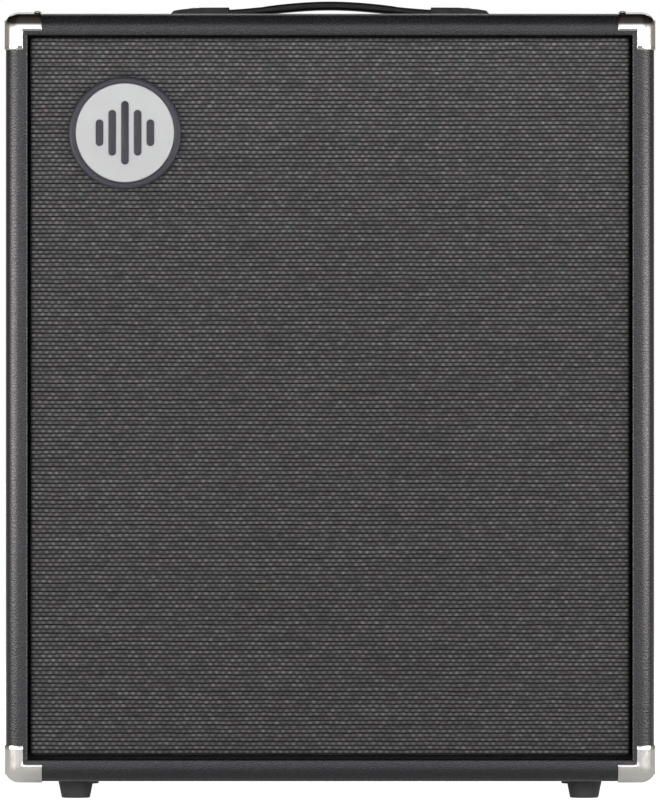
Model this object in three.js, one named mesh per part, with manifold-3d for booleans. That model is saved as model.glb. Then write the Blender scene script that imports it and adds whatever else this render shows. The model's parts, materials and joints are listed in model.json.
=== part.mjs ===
// A powered bass guitar speaker cabinet: one 15-inch woofer, a treble horn, two reflex ports and a
// power amplifier on its back panel, behind a cloth grille.
// Millimetres, +Z up. The front faces -Y, and the origin is on the floor under the middle of the cabinet.

import * as THREE from "three";
import { mergeVertices } from "three/addons/utils/BufferGeometryUtils.js";
import { RoundedBoxGeometry } from "three/addons/geometries/RoundedBoxGeometry.js";
import Module from "manifold-3d";

const wasm = await Module();
wasm.setup();

// ---------------------------------------------------------------- driving dimensions

const WIDTH = 500; // over the vinyl
const HEIGHT = 592; // over the vinyl, without the feet
const DEPTH = 400;
const FOOT_HEIGHT = 14;
const BOARD = 15; // plywood of the box
const SKIN = 0.7; // vinyl covering
const GAP = 0.3; // between pieces that touch
const EDGE_RADIUS = 10; // over the vinyl
const COUNTERSINK = 5; // from the cabinet's front edge to the grille's face

const BASE = FOOT_HEIGHT; // underside of the cabinet
const TOP = BASE + HEIGHT;
const FRONT = -DEPTH / 2;
const REAR = DEPTH / 2;
const MIDDLE = (BASE + TOP) / 2;

// The boards' outer faces, and the box's inner faces, with the vinyl's gap beside them.
const BOARD_X = WIDTH / 2 - SKIN - GAP;
const BOARD_Z = HEIGHT / 2 - SKIN - GAP;
const BOARD_Y = DEPTH / 2 - SKIN - GAP;
const INNER_X = BOARD_X - BOARD;
const INNER_Z = BOARD_Z - BOARD;

// The mouths at the front and back, inside the vinyl that is wrapped round the boards' edges.
const MOUTH_X = INNER_X - GAP - SKIN;
const MOUTH_Z = INNER_Z - GAP - SKIN;

const BAFFLE_FACE = FRONT + 26;
const BAFFLE_BACK = BAFFLE_FACE + BOARD;
const BACK_PANEL_THICKNESS = 12;
const BACK_PANEL_FACE = REAR - 18;
const BACK_PANEL_INSIDE = BACK_PANEL_FACE - BACK_PANEL_THICKNESS;
const CLEAT = 18; // square battens that the back panel is screwed to

const WOOFER_Z = BASE + 238;
const WOOFER_CUTOUT_R = 177;
const TREBLE_Z = BASE + 507;
const PORT_X = 165;
const PORT_BORE_R = 38;
const PORT_TUBE_R = 41;
const HORN_CUTOUT_X = 92;
const HORN_CUTOUT_Z = 48;

const GRILLE_X = 231; // half width of the cloth-covered frame
const GRILLE_LOW = BASE + 20.5;
const GRILLE_HIGH = TOP - 18.5;
const CLOTH = 0.8;
const GRILLE_RAIL = 20;
const CROSS_RAIL_Z = [BASE + 434, BASE + 448];
const PEG_R = 4;
const PEG_X = 220;
const PEG_Z = [BASE + 32, BASE + 562];

const AMP_Z = BASE + 416; // middle of the amplifier's plate
const AMP_PLATE_X = 155;
const AMP_PLATE_Z = 80;
const AMP_PLATE = 2;
const AMP_TUB_X = 138;
const AMP_TUB_Z = 68;
const AMP_TUB_DEPTH = 87;
const AMP_TUB_WALL = 3;

const ROUND = 24; // sides of a large circle
const SMALL_ROUND = 16;

// ---------------------------------------------------------------- finishes

function finish(color, roughness, metalness = 0) {
  return new THREE.MeshStandardMaterial({ color, roughness, metalness });
}

const FINISH = {
  vinyl: finish(0x2c2b2d, 0.55),
  plywood: finish(0xb58b5c, 0.8),
  blackPaint: finish(0x151515, 0.75),
  cloth: finish(0x47474a, 0.9),
  nickel: finish(0xd8d4cc, 0.25, 1),
  rubber: finish(0x303032, 0.8),
  blackPlastic: finish(0x1b1b1d, 0.5),
  badgeRing: finish(0x55555f, 0.4),
  badgeDisc: finish(0xd1d3d3, 0.35, 0.3),
  pressedSteel: finish(0x202022, 0.45, 0.6),
  paper: finish(0x232323, 0.9),
  ferrite: finish(0x3a3a3c, 0.6),
  zincSteel: finish(0xa9abad, 0.4, 1),
  textile: finish(0x8a5a2c, 0.9),
  copper: finish(0xb87045, 0.35, 1),
  powderCoat: finish(0x1e1e20, 0.6),
  blackAluminium: finish(0x242426, 0.5, 0.8),
  circuitBoard: finish(0x1d5a36, 0.5),
};

// ---------------------------------------------------------------- making solids

// A closed three.js geometry as a solid, with its shared corners merged.
function solid(geometry) {
  const bare = geometry.clone();
  for (const name of Object.keys(bare.attributes)) {
    if (name !== "position") bare.deleteAttribute(name);
  }
  const merged = mergeVertices(bare, 1e-3);
  return new wasm.Manifold(
    new wasm.Mesh({
      numProp: 3,
      vertProperties: merged.attributes.position.array,
      triVerts: new Uint32Array(merged.index.array),
    }),
  );
}

function geometryOf(body) {
  const mesh = body.getMesh();
  const geometry = new THREE.BufferGeometry();
  geometry.setAttribute("position", new THREE.BufferAttribute(mesh.vertProperties, 3));
  geometry.setIndex(new THREE.BufferAttribute(mesh.triVerts, 1));
  geometry.computeVertexNormals();
  return geometry;
}

// A box between the low and high ends of each axis.
function block(x, y, z) {
  const geometry = new THREE.BoxGeometry(x[1] - x[0], y[1] - y[0], z[1] - z[0]);
  geometry.translate((x[0] + x[1]) / 2, (y[0] + y[1]) / 2, (z[0] + z[1]) / 2);
  return solid(geometry);
}

function roundedBlock(x, y, z, radius, segments = 3) {
  const geometry = new RoundedBoxGeometry(x[1] - x[0], y[1] - y[0], z[1] - z[0], segments, radius);
  geometry.translate((x[0] + x[1]) / 2, (y[0] + y[1]) / 2, (z[0] + z[1]) / 2);
  return solid(geometry);
}

// A solid of revolution about the Y axis. The profile is a list of [radius, y].
function turned(profile, sides = ROUND) {
  const closed = profile.every(([radius]) => radius > 0) ? [...profile, profile[0]] : profile;
  const area = closed.reduce((sum, [r, y], i) => {
    const [nextR, nextY] = closed[(i + 1) % closed.length];
    return sum + r * nextY - nextR * y;
  }, 0);
  const ordered = area < 0 ? [...closed].reverse() : closed;
  return solid(new THREE.LatheGeometry(ordered.map(([r, y]) => new THREE.Vector2(r, y)), sides));
}

// A cylinder along Y whose middle is at (x, z).
function rod(radius, y, x = 0, z = 0, sides = SMALL_ROUND) {
  const geometry = new THREE.CylinderGeometry(radius, radius, y[1] - y[0], sides);
  geometry.translate(x, (y[0] + y[1]) / 2, z);
  return solid(geometry);
}

// A ring between two radii along Y.
function ring(inner, outer, y, sides = ROUND) {
  return turned([[inner, y[0]], [outer, y[0]], [outer, y[1]], [inner, y[1]]], sides);
}

// An outline in X and Z, given the thickness y along Y.
function prism(outline, y) {
  const shape = new THREE.Shape(outline.map(([x, z]) => new THREE.Vector2(x, z)));
  const geometry = new THREE.ExtrudeGeometry(shape, { depth: y[1] - y[0], bevelEnabled: false });
  geometry.rotateX(Math.PI / 2);
  geometry.translate(0, y[1], 0);
  return solid(geometry);
}

// A round cable through the given points.
function cable(points, radius, steps) {
  const path = new THREE.CatmullRomCurve3(points.map((p) => new THREE.Vector3(...p)));
  const section = new THREE.Shape().absarc(0, 0, radius, 0, 2 * Math.PI);
  const options = { steps, curveSegments: 4, bevelEnabled: false, extrudePath: path };
  return solid(new THREE.ExtrudeGeometry(section, options));
}

function union(bodies) {
  return bodies.reduce((sum, body) => sum.add(body));
}

const plusMinus = (half) => [-half, half];
const around = (middle, half) => [middle - half, middle + half];

const cabinet = new THREE.Group();

function add(parent, name, body, material) {
  const mesh = new THREE.Mesh(geometryOf(body), material);
  mesh.name = name;
  parent.add(mesh);
  return mesh;
}

function addGroup(parent, x, y, z) {
  const group = new THREE.Group();
  group.position.set(x, y, z);
  parent.add(group);
  return group;
}

// ---------------------------------------------------------------- the wooden box

// The box's outer form at a distance inside the vinyl's face, rounded on every edge.
function envelope(inset) {
  return roundedBlock(
    plusMinus(WIDTH / 2 - inset),
    plusMinus(DEPTH / 2 - inset),
    around(MIDDLE, HEIGHT / 2 - inset),
    EDGE_RADIUS - inset,
    2,
  );
}

const through = plusMinus(DEPTH);

function addBoards() {
  const form = envelope(SKIN + GAP);
  const lid = [MIDDLE + INNER_Z, TOP];
  const floor = [BASE, MIDDLE - INNER_Z];
  const sides = around(MIDDLE, INNER_Z - GAP);
  const right = [INNER_X, WIDTH / 2];
  const left = [-WIDTH / 2, -INNER_X];
  add(cabinet, "top_panel", form.intersect(block(plusMinus(WIDTH), through, lid)), FINISH.plywood);
  add(cabinet, "bottom_panel", form.intersect(block(plusMinus(WIDTH), through, floor)), FINISH.plywood);
  add(cabinet, "right_panel", form.intersect(block(right, through, sides)), FINISH.plywood);
  add(cabinet, "left_panel", form.intersect(block(left, through, sides)), FINISH.plywood);
}

// The vinyl covers the outside and is wrapped round the boards' front and back edges.
function addVinyl() {
  const wrapFront = BAFFLE_FACE - 2;
  const wrapBack = BACK_PANEL_FACE + 2;
  const boards = envelope(SKIN).subtract(
    block(plusMinus(INNER_X - GAP), through, around(MIDDLE, INNER_Z - GAP)),
  );
  const mouth = block(plusMinus(MOUTH_X), through, around(MIDDLE, MOUTH_Z));
  const bare = block(plusMinus(INNER_X), [wrapFront, wrapBack], around(MIDDLE, INNER_Z));
  const skin = envelope(0).subtract(boards).subtract(mouth).subtract(bare);
  add(cabinet, "vinyl_covering", skin, FINISH.vinyl);
}

function addBaffle() {
  const board = block(
    plusMinus(INNER_X - GAP),
    [BAFFLE_FACE, BAFFLE_BACK],
    around(MIDDLE, INNER_Z - GAP),
  );
  const ports = [-1, 1].map((side) => rod(PORT_TUBE_R + GAP, through, side * PORT_X, TREBLE_Z, ROUND));
  const pegs = [-1, 1].flatMap((side) => PEG_Z.map((z) => rod(PEG_R + 0.4, through, side * PEG_X, z)));
  const holes = [
    rod(WOOFER_CUTOUT_R, through, 0, WOOFER_Z, ROUND),
    block(plusMinus(HORN_CUTOUT_X), through, around(TREBLE_Z, HORN_CUTOUT_Z)),
    ...ports,
    ...pegs,
  ];
  add(cabinet, "baffle_board", board.subtract(union(holes)), FINISH.blackPaint);
}

function addBackPanel() {
  const panel = block(
    plusMinus(MOUTH_X - GAP),
    [BACK_PANEL_INSIDE, BACK_PANEL_FACE],
    around(MIDDLE, MOUTH_Z - GAP),
  );
  const cutout = block(plusMinus(AMP_TUB_X + GAP), through, around(AMP_Z, AMP_TUB_Z + GAP));
  add(cabinet, "back_panel", panel.subtract(cutout), FINISH.vinyl);

  const battens = [BACK_PANEL_INSIDE - GAP - CLEAT, BACK_PANEL_INSIDE - GAP];
  const outside = block(plusMinus(INNER_X - GAP), battens, around(MIDDLE, INNER_Z - GAP));
  const inside = block(plusMinus(INNER_X - CLEAT), through, around(MIDDLE, INNER_Z - CLEAT));
  add(cabinet, "rear_cleat_frame", outside.subtract(inside), FINISH.plywood);
}

// ---------------------------------------------------------------- corners and feet

// A pressed metal corner is a shell round the cabinet's corner with a leg along each of its edges.
function addCorners() {
  const LEG = 28;
  const LEG_WIDTH = 13.5;
  const METAL = 1;
  const shell = envelope(-METAL).subtract(envelope(-GAP));
  const places = { front: -1, rear: 1, left: -1, right: 1, bottom: -1, top: 1 };
  const reach = (side, half, middle, depth) => {
    const edge = middle + side * (half + 2 * METAL);
    const inner = middle + side * (half - depth);
    return side > 0 ? [inner, edge] : [edge, inner];
  };
  for (const end of ["front", "rear"]) {
    for (const level of ["top", "bottom"]) {
      for (const side of ["left", "right"]) {
        const legs = [0, 1, 2].map((long) => {
          const depth = [0, 1, 2].map((axis) => (axis === long ? LEG : LEG_WIDTH));
          return block(
            reach(places[side], WIDTH / 2, 0, depth[0]),
            reach(places[end], DEPTH / 2, 0, depth[1]),
            reach(places[level], HEIGHT / 2, MIDDLE, depth[2]),
          );
        });
        add(cabinet, `corner_${end}_${level}_${side}`, shell.intersect(union(legs)), FINISH.nickel);
      }
    }
  }
}

function addFeet() {
  const FOOT_X = 197;
  const FOOT_Y = 150;
  const TOP_R = 13.7;
  const SOLE_R = 10.9;
  const height = FOOT_HEIGHT - GAP;
  // From the middle of the screw's recess, over the sole, to the top.
  const profile = [
    [0, 6], [5, 6], [5, 0], [SOLE_R - 1.2, 0], [SOLE_R, 1.2],
    [TOP_R, height - 2], [TOP_R, height], [0, height],
  ];
  for (const [end, y] of [["front", -FOOT_Y], ["rear", FOOT_Y]]) {
    for (const [side, x] of [["left", -FOOT_X], ["right", FOOT_X]]) {
      const foot = add(cabinet, `foot_${end}_${side}`, turned(profile, SMALL_ROUND), FINISH.rubber);
      foot.rotation.x = Math.PI / 2;
      foot.position.set(x, y, 0);
    }
  }
}

// ---------------------------------------------------------------- the strap handle

const STRAP_LOW = 8.1; // middle of the strap above the cabinet, inside its end caps
const STRAP_RISE = 5.85; // how far it bows up at its middle
const STRAP_BOW = 100; // where the bow starts, from the middle

function strapMiddle(x) {
  const share = Math.min(Math.abs(x) / STRAP_BOW, 1);
  return STRAP_LOW + (STRAP_RISE * (1 + Math.cos(Math.PI * share))) / 2;
}

// The outline of a bowed strip between -reach and reach.
function bowed(reach, thickness, steps) {
  const along = Array.from({ length: steps + 1 }, (_, i) => -reach + (2 * reach * i) / steps);
  const under = along.map((x) => [x, strapMiddle(x) - thickness / 2]);
  const over = along.map((x) => [x, strapMiddle(x) + thickness / 2]).reverse();
  return [...under, ...over];
}

function addHandle() {
  const STRAP = { reach: 112, thickness: 3.4, width: 22 };
  const GRIP = { reach: 52, thickness: 6.2, width: 26 };
  const CAP = { mouth: 79, end: 125, height: 12.5, width: 34 };
  const handle = addGroup(cabinet, 0, 0, TOP + GAP);

  const strap = prism(bowed(STRAP.reach, STRAP.thickness, 28), plusMinus(STRAP.width / 2));
  add(handle, "handle_strap", strap, FINISH.rubber);

  const tunnel = prism(
    bowed(GRIP.reach + 1, STRAP.thickness + 2 * GAP, 12),
    plusMinus(STRAP.width / 2 + GAP),
  );
  const sleeve = prism(bowed(GRIP.reach, GRIP.thickness, 12), plusMinus(GRIP.width / 2));
  add(handle, "handle_grip", sleeve.subtract(tunnel), FINISH.rubber);

  // One cap's side view, from its mouth over the rounded end.
  const side = [
    [CAP.mouth, 0], [CAP.end, 0], [CAP.end, 6.5], [CAP.end - 3.5, 10.2],
    [CAP.end - 10, 11.6], [CAP.end - 22, CAP.height], [CAP.mouth, CAP.height],
  ];
  const slot = block([CAP.mouth - 1, CAP.end - 6], plusMinus(13.5), [4.7, 11.4]);
  const cap = prism(side, plusMinus(CAP.width / 2)).subtract(slot);
  add(handle, "handle_cap_right", cap, FINISH.blackPlastic);
  const mirrored = add(handle, "handle_cap_left", cap, FINISH.blackPlastic);
  mirrored.rotation.z = Math.PI;
}

// ---------------------------------------------------------------- the grille

function addGrille() {
  const face = FRONT + COUNTERSINK;
  const clothBack = face + CLOTH;
  const frame = {
    x: GRILLE_X - CLOTH - GAP,
    low: GRILLE_LOW + CLOTH + GAP,
    high: GRILLE_HIGH - CLOTH - GAP,
  };
  const back = BAFFLE_FACE - 4;
  const thick = [clothBack + GAP, back];

  const cloth = block(plusMinus(GRILLE_X), [face, clothBack], [GRILLE_LOW, GRILLE_HIGH]);
  add(cabinet, "grille_cloth", cloth, FINISH.cloth);

  const window = frame.x - GRILLE_RAIL;
  const board = block(plusMinus(frame.x), thick, [frame.low, frame.high])
    .subtract(block(plusMinus(window), through, [frame.low + GRILLE_RAIL, CROSS_RAIL_Z[0]]))
    .subtract(block(plusMinus(window), through, [CROSS_RAIL_Z[1], frame.high - GRILLE_RAIL]));
  const pegs = [-1, 1].flatMap((side) =>
    PEG_Z.map((z) => rod(PEG_R, [back - 1, BAFFLE_FACE + 8], side * PEG_X, z, 12)),
  );
  add(cabinet, "grille_frame", union([board, ...pegs]), FINISH.blackPaint);
}

// A round badge: a shallow dish with a plain disc set in it.
function addBadge() {
  const OUTER_R = 43.5;
  const DISC_R = 38.2;
  const FROM_EDGE = 92;
  const badge = addGroup(cabinet, -WIDTH / 2 + FROM_EDGE, FRONT + COUNTERSINK - GAP, TOP - FROM_EDGE);
  const dish = turned([
    [0, 0], [OUTER_R, 0], [OUTER_R, -2.4], [OUTER_R - 1, -3.4],
    [DISC_R + GAP, -3.4], [DISC_R + GAP, -1.2], [0, -1.2],
  ]);
  add(badge, "badge_bezel", dish, FINISH.badgeRing);
  add(badge, "badge_disc", rod(DISC_R, [-2.7, -1.5], 0, 0, ROUND), FINISH.badgeDisc);
}

// ---------------------------------------------------------------- the woofer

// Depths are from the baffle's face, into the cabinet.
const CONE = { edgeR: 163.7, neckR: 33.6, edge: -2.6, neck: 62, thick: 1.2 };

// The cone's front face: a little steeper at the neck than at the edge.
function coneFace(radius) {
  const share = (CONE.edgeR - radius) / (CONE.edgeR - CONE.neckR);
  return CONE.edge + (CONE.neck - CONE.edge) * (0.8 * share + 0.2 * share * share);
}

function addWooferChassis(woofer) {
  // The pressed basket, from the flange's front round its back to the spider's ledge.
  const shell = turned([
    [176, -GAP - 2.5], [193.5, -GAP - 2.5], [193.5, -GAP], [176.6, -GAP], [171, 32], [101, 98],
    [40, 98], [40, 95.5], [75, 95.5], [75, 87], [83, 87], [83, 95.5], [99.5, 95.5], [168.5, 30.5],
    [174, -GAP], [176, -GAP],
  ]);
  const WINDOWS = 6;
  const openings = Array.from({ length: WINDOWS }, (_, i) => {
    const opening = new THREE.BoxGeometry(74, 46, 70);
    opening.translate(0, 64, 142);
    opening.rotateY(((i + 0.5) * 2 * Math.PI) / WINDOWS);
    return solid(opening);
  });
  add(woofer, "woofer_basket", shell.subtract(union(openings)), FINISH.pressedSteel);
}

function addWooferMotor(woofer) {
  add(woofer, "woofer_top_plate", ring(34.8, 85, [98.3, 106.3]), FINISH.zincSteel);
  add(woofer, "woofer_magnet", ring(45, 90, [106.6, 126.6]), FINISH.ferrite);
  const yoke = turned([[12, 134.9], [85, 134.9], [85, 126.9], [30.4, 126.9], [30.4, 98.6], [12, 98.6]]);
  add(woofer, "woofer_yoke", yoke, FINISH.zincSteel);
}

function addWooferMovingParts(woofer) {
  const stations = [1, 0.75, 0.5, 0.25, 0].map((s) => CONE.neckR + s * (CONE.edgeR - CONE.neckR));
  const front = stations.map((r) => [r, coneFace(r)]);
  const back = stations.map((r) => [r, coneFace(r) + CONE.thick]).reverse();
  add(woofer, "woofer_cone", turned([...front, ...back]), FINISH.paper);

  // The half-roll surround, on the basket's flange outside and on the cone's edge inside.
  const ROLL = { middle: 172, radius: 8, lip: -3.1, thick: 0.8 };
  const arc = (radius, steps) =>
    Array.from({ length: steps + 1 }, (_, i) => {
      const angle = (Math.PI * i) / steps;
      return [ROLL.middle + radius * Math.cos(angle), ROLL.lip - radius * Math.sin(angle)];
    });
  const surround = turned([
    [184, ROLL.lip], [184, ROLL.lip - ROLL.thick], ...arc(ROLL.radius, 6),
    [158, ROLL.lip - ROLL.thick], [158, ROLL.lip], ...arc(ROLL.radius - ROLL.thick, 6).reverse(),
  ]);
  add(woofer, "woofer_surround", surround, FINISH.rubber);

  const CAP_R = 45;
  const CAP_RISE = 15;
  const rim = coneFace(CAP_R) - 0.6;
  const dome = [0, 0.35, 0.65, 0.85, 1].map((share) => {
    return [CAP_R * share, rim - CAP_RISE * (1 - share * share)];
  });
  const inside = [...dome].reverse().map(([r, y]) => {
    return [Math.max(0, r - (r > 0 ? 1 : 0)), y + 1 - (r === CAP_R ? 1 : 0)];
  });
  add(woofer, "woofer_dust_cap", turned([...dome, ...inside]), FINISH.paper);

  const coil = turned([
    [32.2, 57], [33.2, 57], [33.2, 97], [34.2, 97], [34.2, 109], [33.2, 109], [33.2, 113], [32.2, 113],
  ]);
  add(woofer, "woofer_voice_coil", coil, FINISH.copper);

  const FOLDS = 4;
  const zigzag = Array.from({ length: FOLDS + 1 }, (_, i) => [40 + i * 9, i % 2 ? 82.5 : 86]);
  const sheet = [[34.5, 84], ...zigzag, [82, 86]];
  const spider = turned([...sheet, ...sheet.map(([r, y]) => [r, y - 0.8]).reverse()]);
  add(woofer, "woofer_spider", spider, FINISH.textile);
}

function addWoofer() {
  const woofer = addGroup(cabinet, 0, BAFFLE_FACE, WOOFER_Z);
  addWooferChassis(woofer);
  addWooferMotor(woofer);
  addWooferMovingParts(woofer);
}

// ---------------------------------------------------------------- treble horn and ports

// A rectangular funnel along Y, twice as wide as it is high.
function funnel(frontHalf, backHalf, y) {
  const across = Math.SQRT2;
  const geometry = new THREE.CylinderGeometry(backHalf * across, frontHalf * across, y[1] - y[0], 4, 1);
  geometry.rotateY(Math.PI / 4);
  geometry.scale(1, 1, 0.5);
  geometry.translate(0, (y[0] + y[1]) / 2, 0);
  return solid(geometry);
}

function addTreble() {
  const treble = addGroup(cabinet, 0, BAFFLE_FACE, TREBLE_Z);
  const flange = [-3.3, -GAP];
  const outside = union([
    block(plusMinus(100), flange, plusMinus(56)),
    funnel(89, 26, [-GAP - 0.1, 70]),
    rod(20, [66, 90], 0, 0, ROUND),
  ]);
  const inside = union([funnel(86, 20, [-3.4, 72]), rod(12.5, [60, 91], 0, 0, ROUND)]);
  add(treble, "horn_flare", outside.subtract(inside), FINISH.blackPlastic);

  const driver = turned([[0, 90.3], [45, 90.3], [45, 96], [40, 96], [40, 124], [36, 128], [0, 128]]);
  add(treble, "compression_driver", driver, FINISH.ferrite);
}

function addPorts() {
  for (const [side, x] of [["left", -PORT_X], ["right", PORT_X]]) {
    const tube = turned([
      [PORT_BORE_R + 4, -3.3], [50, -3.3], [50, -GAP], [PORT_TUBE_R, -GAP], [PORT_TUBE_R, 120],
      [PORT_BORE_R, 120], [PORT_BORE_R, 3],
    ]);
    add(addGroup(cabinet, x, BAFFLE_FACE, TREBLE_Z), `port_tube_${side}`, tube, FINISH.blackPlastic);
  }
}

// ---------------------------------------------------------------- the amplifier

// Places on the amplifier's plate, from its middle. Seen from behind, +X is on the left.
const INLET = { x: 116, z: 0 };
const SWITCH = { x: 80, z: 0 };
const LEVEL = { x: -58, z: 30 };
const LIFT = { x: -58, z: -30 };
const XLR_IN = { x: -88, z: 0 };
const XLR_LINK = { x: -120, z: 0 };
const HEATSINK = { x: [-36, 60], z: [-56, 56] };
const XLR_HOLE_R = 12;

// Depths in this group are from the plate's outer face, positive towards the rear.
const PLATE_FACE = BACK_PANEL_FACE + GAP + AMP_PLATE;

function addAmpCase(amp) {
  const holes = union([
    block(around(INLET.x, 14.5), through, around(INLET.z, 25.5)),
    block(around(SWITCH.x, 9.8), through, around(SWITCH.z, 13.8)),
    rod(3.8, through, LEVEL.x, LEVEL.z),
    block(around(LIFT.x, 4.5), through, around(LIFT.z, 4.5)),
    rod(XLR_HOLE_R, through, XLR_IN.x, XLR_IN.z),
    rod(XLR_HOLE_R, through, XLR_LINK.x, XLR_LINK.z),
  ]);
  const plate = block(plusMinus(AMP_PLATE_X), [-AMP_PLATE, 0], plusMinus(AMP_PLATE_Z));
  add(amp, "amp_plate", plate.subtract(holes), FINISH.powderCoat);

  const mouth = -AMP_PLATE - GAP;
  const floor = mouth - AMP_TUB_DEPTH;
  const tub = block(plusMinus(AMP_TUB_X), [floor, mouth], plusMinus(AMP_TUB_Z));
  const hollow = block(
    plusMinus(AMP_TUB_X - AMP_TUB_WALL),
    [floor + AMP_TUB_WALL, mouth + 1],
    plusMinus(AMP_TUB_Z - AMP_TUB_WALL),
  );
  add(amp, "amp_enclosure", tub.subtract(hollow), FINISH.zincSteel);
}

function addAmpInsides(amp) {
  const BOARD_TOP = -52;
  const board = block([-128, 100], [-78, -34], [BOARD_TOP - 1.6, BOARD_TOP]);
  const capacitors = [-110, -84, -58].map((x) => {
    const can = new THREE.CylinderGeometry(11, 11, 36, SMALL_ROUND);
    can.rotateX(Math.PI / 2);
    can.translate(x, -56, BOARD_TOP + 17.9);
    return solid(can);
  });
  const inductor = block([20, 50], [-70, -42], [BOARD_TOP - 0.1, BOARD_TOP + 24]);
  add(amp, "amp_circuit_board", union([board, inductor, ...capacitors]), FINISH.circuitBoard);

  const transformer = union([
    block([56, 94], [-76, -40], [BOARD_TOP + GAP, BOARD_TOP + 34]),
    block([62, 88], [-80, -36], [BOARD_TOP + 6, BOARD_TOP + 28]),
  ]);
  add(amp, "mains_transformer", transformer, FINISH.ferrite);
}

function addHeatsink(amp) {
  const FINS = 11;
  const FIN = 2;
  const base = block(HEATSINK.x, [GAP, 3.3], HEATSINK.z);
  const pitch = (HEATSINK.x[1] - HEATSINK.x[0] - FIN) / (FINS - 1);
  const fins = Array.from({ length: FINS }, (_, i) => {
    const x = HEATSINK.x[0] + i * pitch;
    return block([x, x + FIN], [3.2, 13], HEATSINK.z);
  });
  add(amp, "heatsink", union([base, ...fins]), FINISH.blackAluminium);
}

// The shell that both three-pin connectors share: a flange outside the plate and a barrel through it.
function connectorShell() {
  return union([
    roundedBlock(plusMinus(13), [GAP, 2.3], plusMinus(15.5), 0.9, 1),
    rod(XLR_HOLE_R - GAP, [-20, 2]),
    ring(9.6, 11.4, [1, 4.3], SMALL_ROUND),
  ]);
}

// Three pins on a circle, one of them at the bottom.
function contacts(radius, y) {
  const CIRCLE = 3.6;
  return union(
    [-90, 30, 150].map((degrees) => {
      const angle = THREE.MathUtils.degToRad(degrees);
      return rod(radius, y, CIRCLE * Math.cos(angle), CIRCLE * Math.sin(angle), 10);
    }),
  );
}

function addConnectors(amp) {
  const cup = rod(9.6, [-14, 6]);
  const input = addGroup(amp, XLR_IN.x, 0, XLR_IN.z);
  const insert = rod(7, [-15, 3]);
  const latchSlot = block(plusMinus(3.3), [-6, 6], [9.4, 14]);
  const shell = connectorShell().subtract(cup).add(insert).subtract(latchSlot);
  add(input, "input_socket", shell, FINISH.zincSteel);
  const tongue = block(plusMinus(2.8), [-4, 4.6], [9.9, 11.3]);
  const tab = block(plusMinus(2.8), [2.2, 4.6], [9.9, 13.4]);
  add(input, "input_latch", tongue.add(tab), FINISH.blackPlastic);

  const link = addGroup(amp, XLR_LINK.x, 0, XLR_LINK.z);
  const pins = contacts(1.2, [-15, 0]);
  add(link, "link_socket", connectorShell().subtract(cup).add(pins), FINISH.zincSteel);
}

function addControls(amp) {
  const level = addGroup(amp, LEVEL.x, 0, LEVEL.z);
  const profile = [
    [0, 9.5], [3.3, 9.5], [3.3, 1], [11, 1], [11, 4], [9.4, 5.2], [8.8, 13], [8, 13.8], [0, 13.8],
  ];
  const pointer = block(plusMinus(0.8), [5, 14.2], [4, 10.6]);
  add(level, "level_knob", turned(profile, SMALL_ROUND).add(pointer), FINISH.blackPlastic);
  const pot = union([
    rod(8.5, [-15, -AMP_PLATE - GAP]),
    rod(3.5, [-AMP_PLATE - 1, 0.5]),
    rod(3, [0, 9]),
  ]);
  add(level, "level_potentiometer", pot, FINISH.zincSteel);

  const TRAVEL = 2.5;
  const lift = addGroup(amp, LIFT.x, 0, LIFT.z);
  const stem = block(plusMinus(2), [-16, -5], plusMinus(2));
  const button = roundedBlock(plusMinus(4), [-6, 2 + TRAVEL], plusMinus(4), 0.8, 1);
  add(lift, "ground_lift_button", button.add(stem), FINISH.blackPlastic);
}

function addPowerSwitch(amp) {
  const HALF = { x: 8.3, z: 12.2 };
  const TILT = THREE.MathUtils.degToRad(6);
  const group = addGroup(amp, SWITCH.x, 0, SWITCH.z);
  const frame = union([
    roundedBlock(plusMinus(11), [GAP, 2.3], plusMinus(15), 0.9, 1),
    block(plusMinus(9.5), [-22, 2], plusMinus(13.5)),
  ]).subtract(block(plusMinus(HALF.x + 0.5), [-14, 6], plusMinus(HALF.z + 0.6)));
  add(group, "power_switch_frame", frame, FINISH.blackPlastic);

  // The rocker is drawn level, in Y and Z, and rests tilted to its off side.
  const outline = [
    [-7, -7], [7, -7], [HALF.z, -2], [HALF.z, 3.6], [0, 1.8], [-HALF.z, 3.6], [-HALF.z, -2],
  ].map(([z, y]) => new THREE.Vector2(y, z));
  const geometry = new THREE.ExtrudeGeometry(new THREE.Shape(outline), {
    depth: 2 * HALF.x,
    bevelEnabled: false,
  });
  geometry.translate(0, 0, -HALF.x);
  geometry.rotateY(-Math.PI / 2);
  geometry.rotateX(-Math.PI / 2);
  const rocker = add(group, "power_rocker", solid(geometry), FINISH.blackPlastic);
  rocker.rotation.x = TILT;
}

function addMainsInlet(amp) {
  const group = addGroup(amp, INLET.x, 0, INLET.z);
  const CUP_Z = 8;
  const DRAWER_Z = -17;
  const housing = union([
    roundedBlock(plusMinus(16.5), [GAP, 2.3], plusMinus(29), 0.9, 1),
    block(plusMinus(14.2), [-26, 2], plusMinus(25.2)),
  ])
    .subtract(block(plusMinus(12), [-18, 6], around(CUP_Z, 8)))
    .subtract(block(plusMinus(12.5), [-22, 6], around(DRAWER_Z, 5)));
  const blades = [[-7, -2], [7, -2], [0, 3]].map(([x, z]) =>
    block(around(x, 1), [-19, -3], around(CUP_Z + z, 2)),
  );
  add(group, "mains_inlet", union([housing, ...blades]), FINISH.blackPlastic);
  const drawer = union([
    block(plusMinus(12), [0.5, 3], around(DRAWER_Z, 4.6)),
    block(plusMinus(10.5), [-21, 1], around(DRAWER_Z, 3.6)),
  ]);
  add(group, "fuse_drawer", drawer, FINISH.blackPlastic);
}

function addAmplifier() {
  const amp = addGroup(cabinet, 0, PLATE_FACE, AMP_Z);
  addAmpCase(amp);
  addAmpInsides(amp);
  addHeatsink(amp);
  addConnectors(amp);
  addControls(amp);
  addPowerSwitch(amp);
  addMainsInlet(amp);
}

// ---------------------------------------------------------------- inside the box

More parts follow.
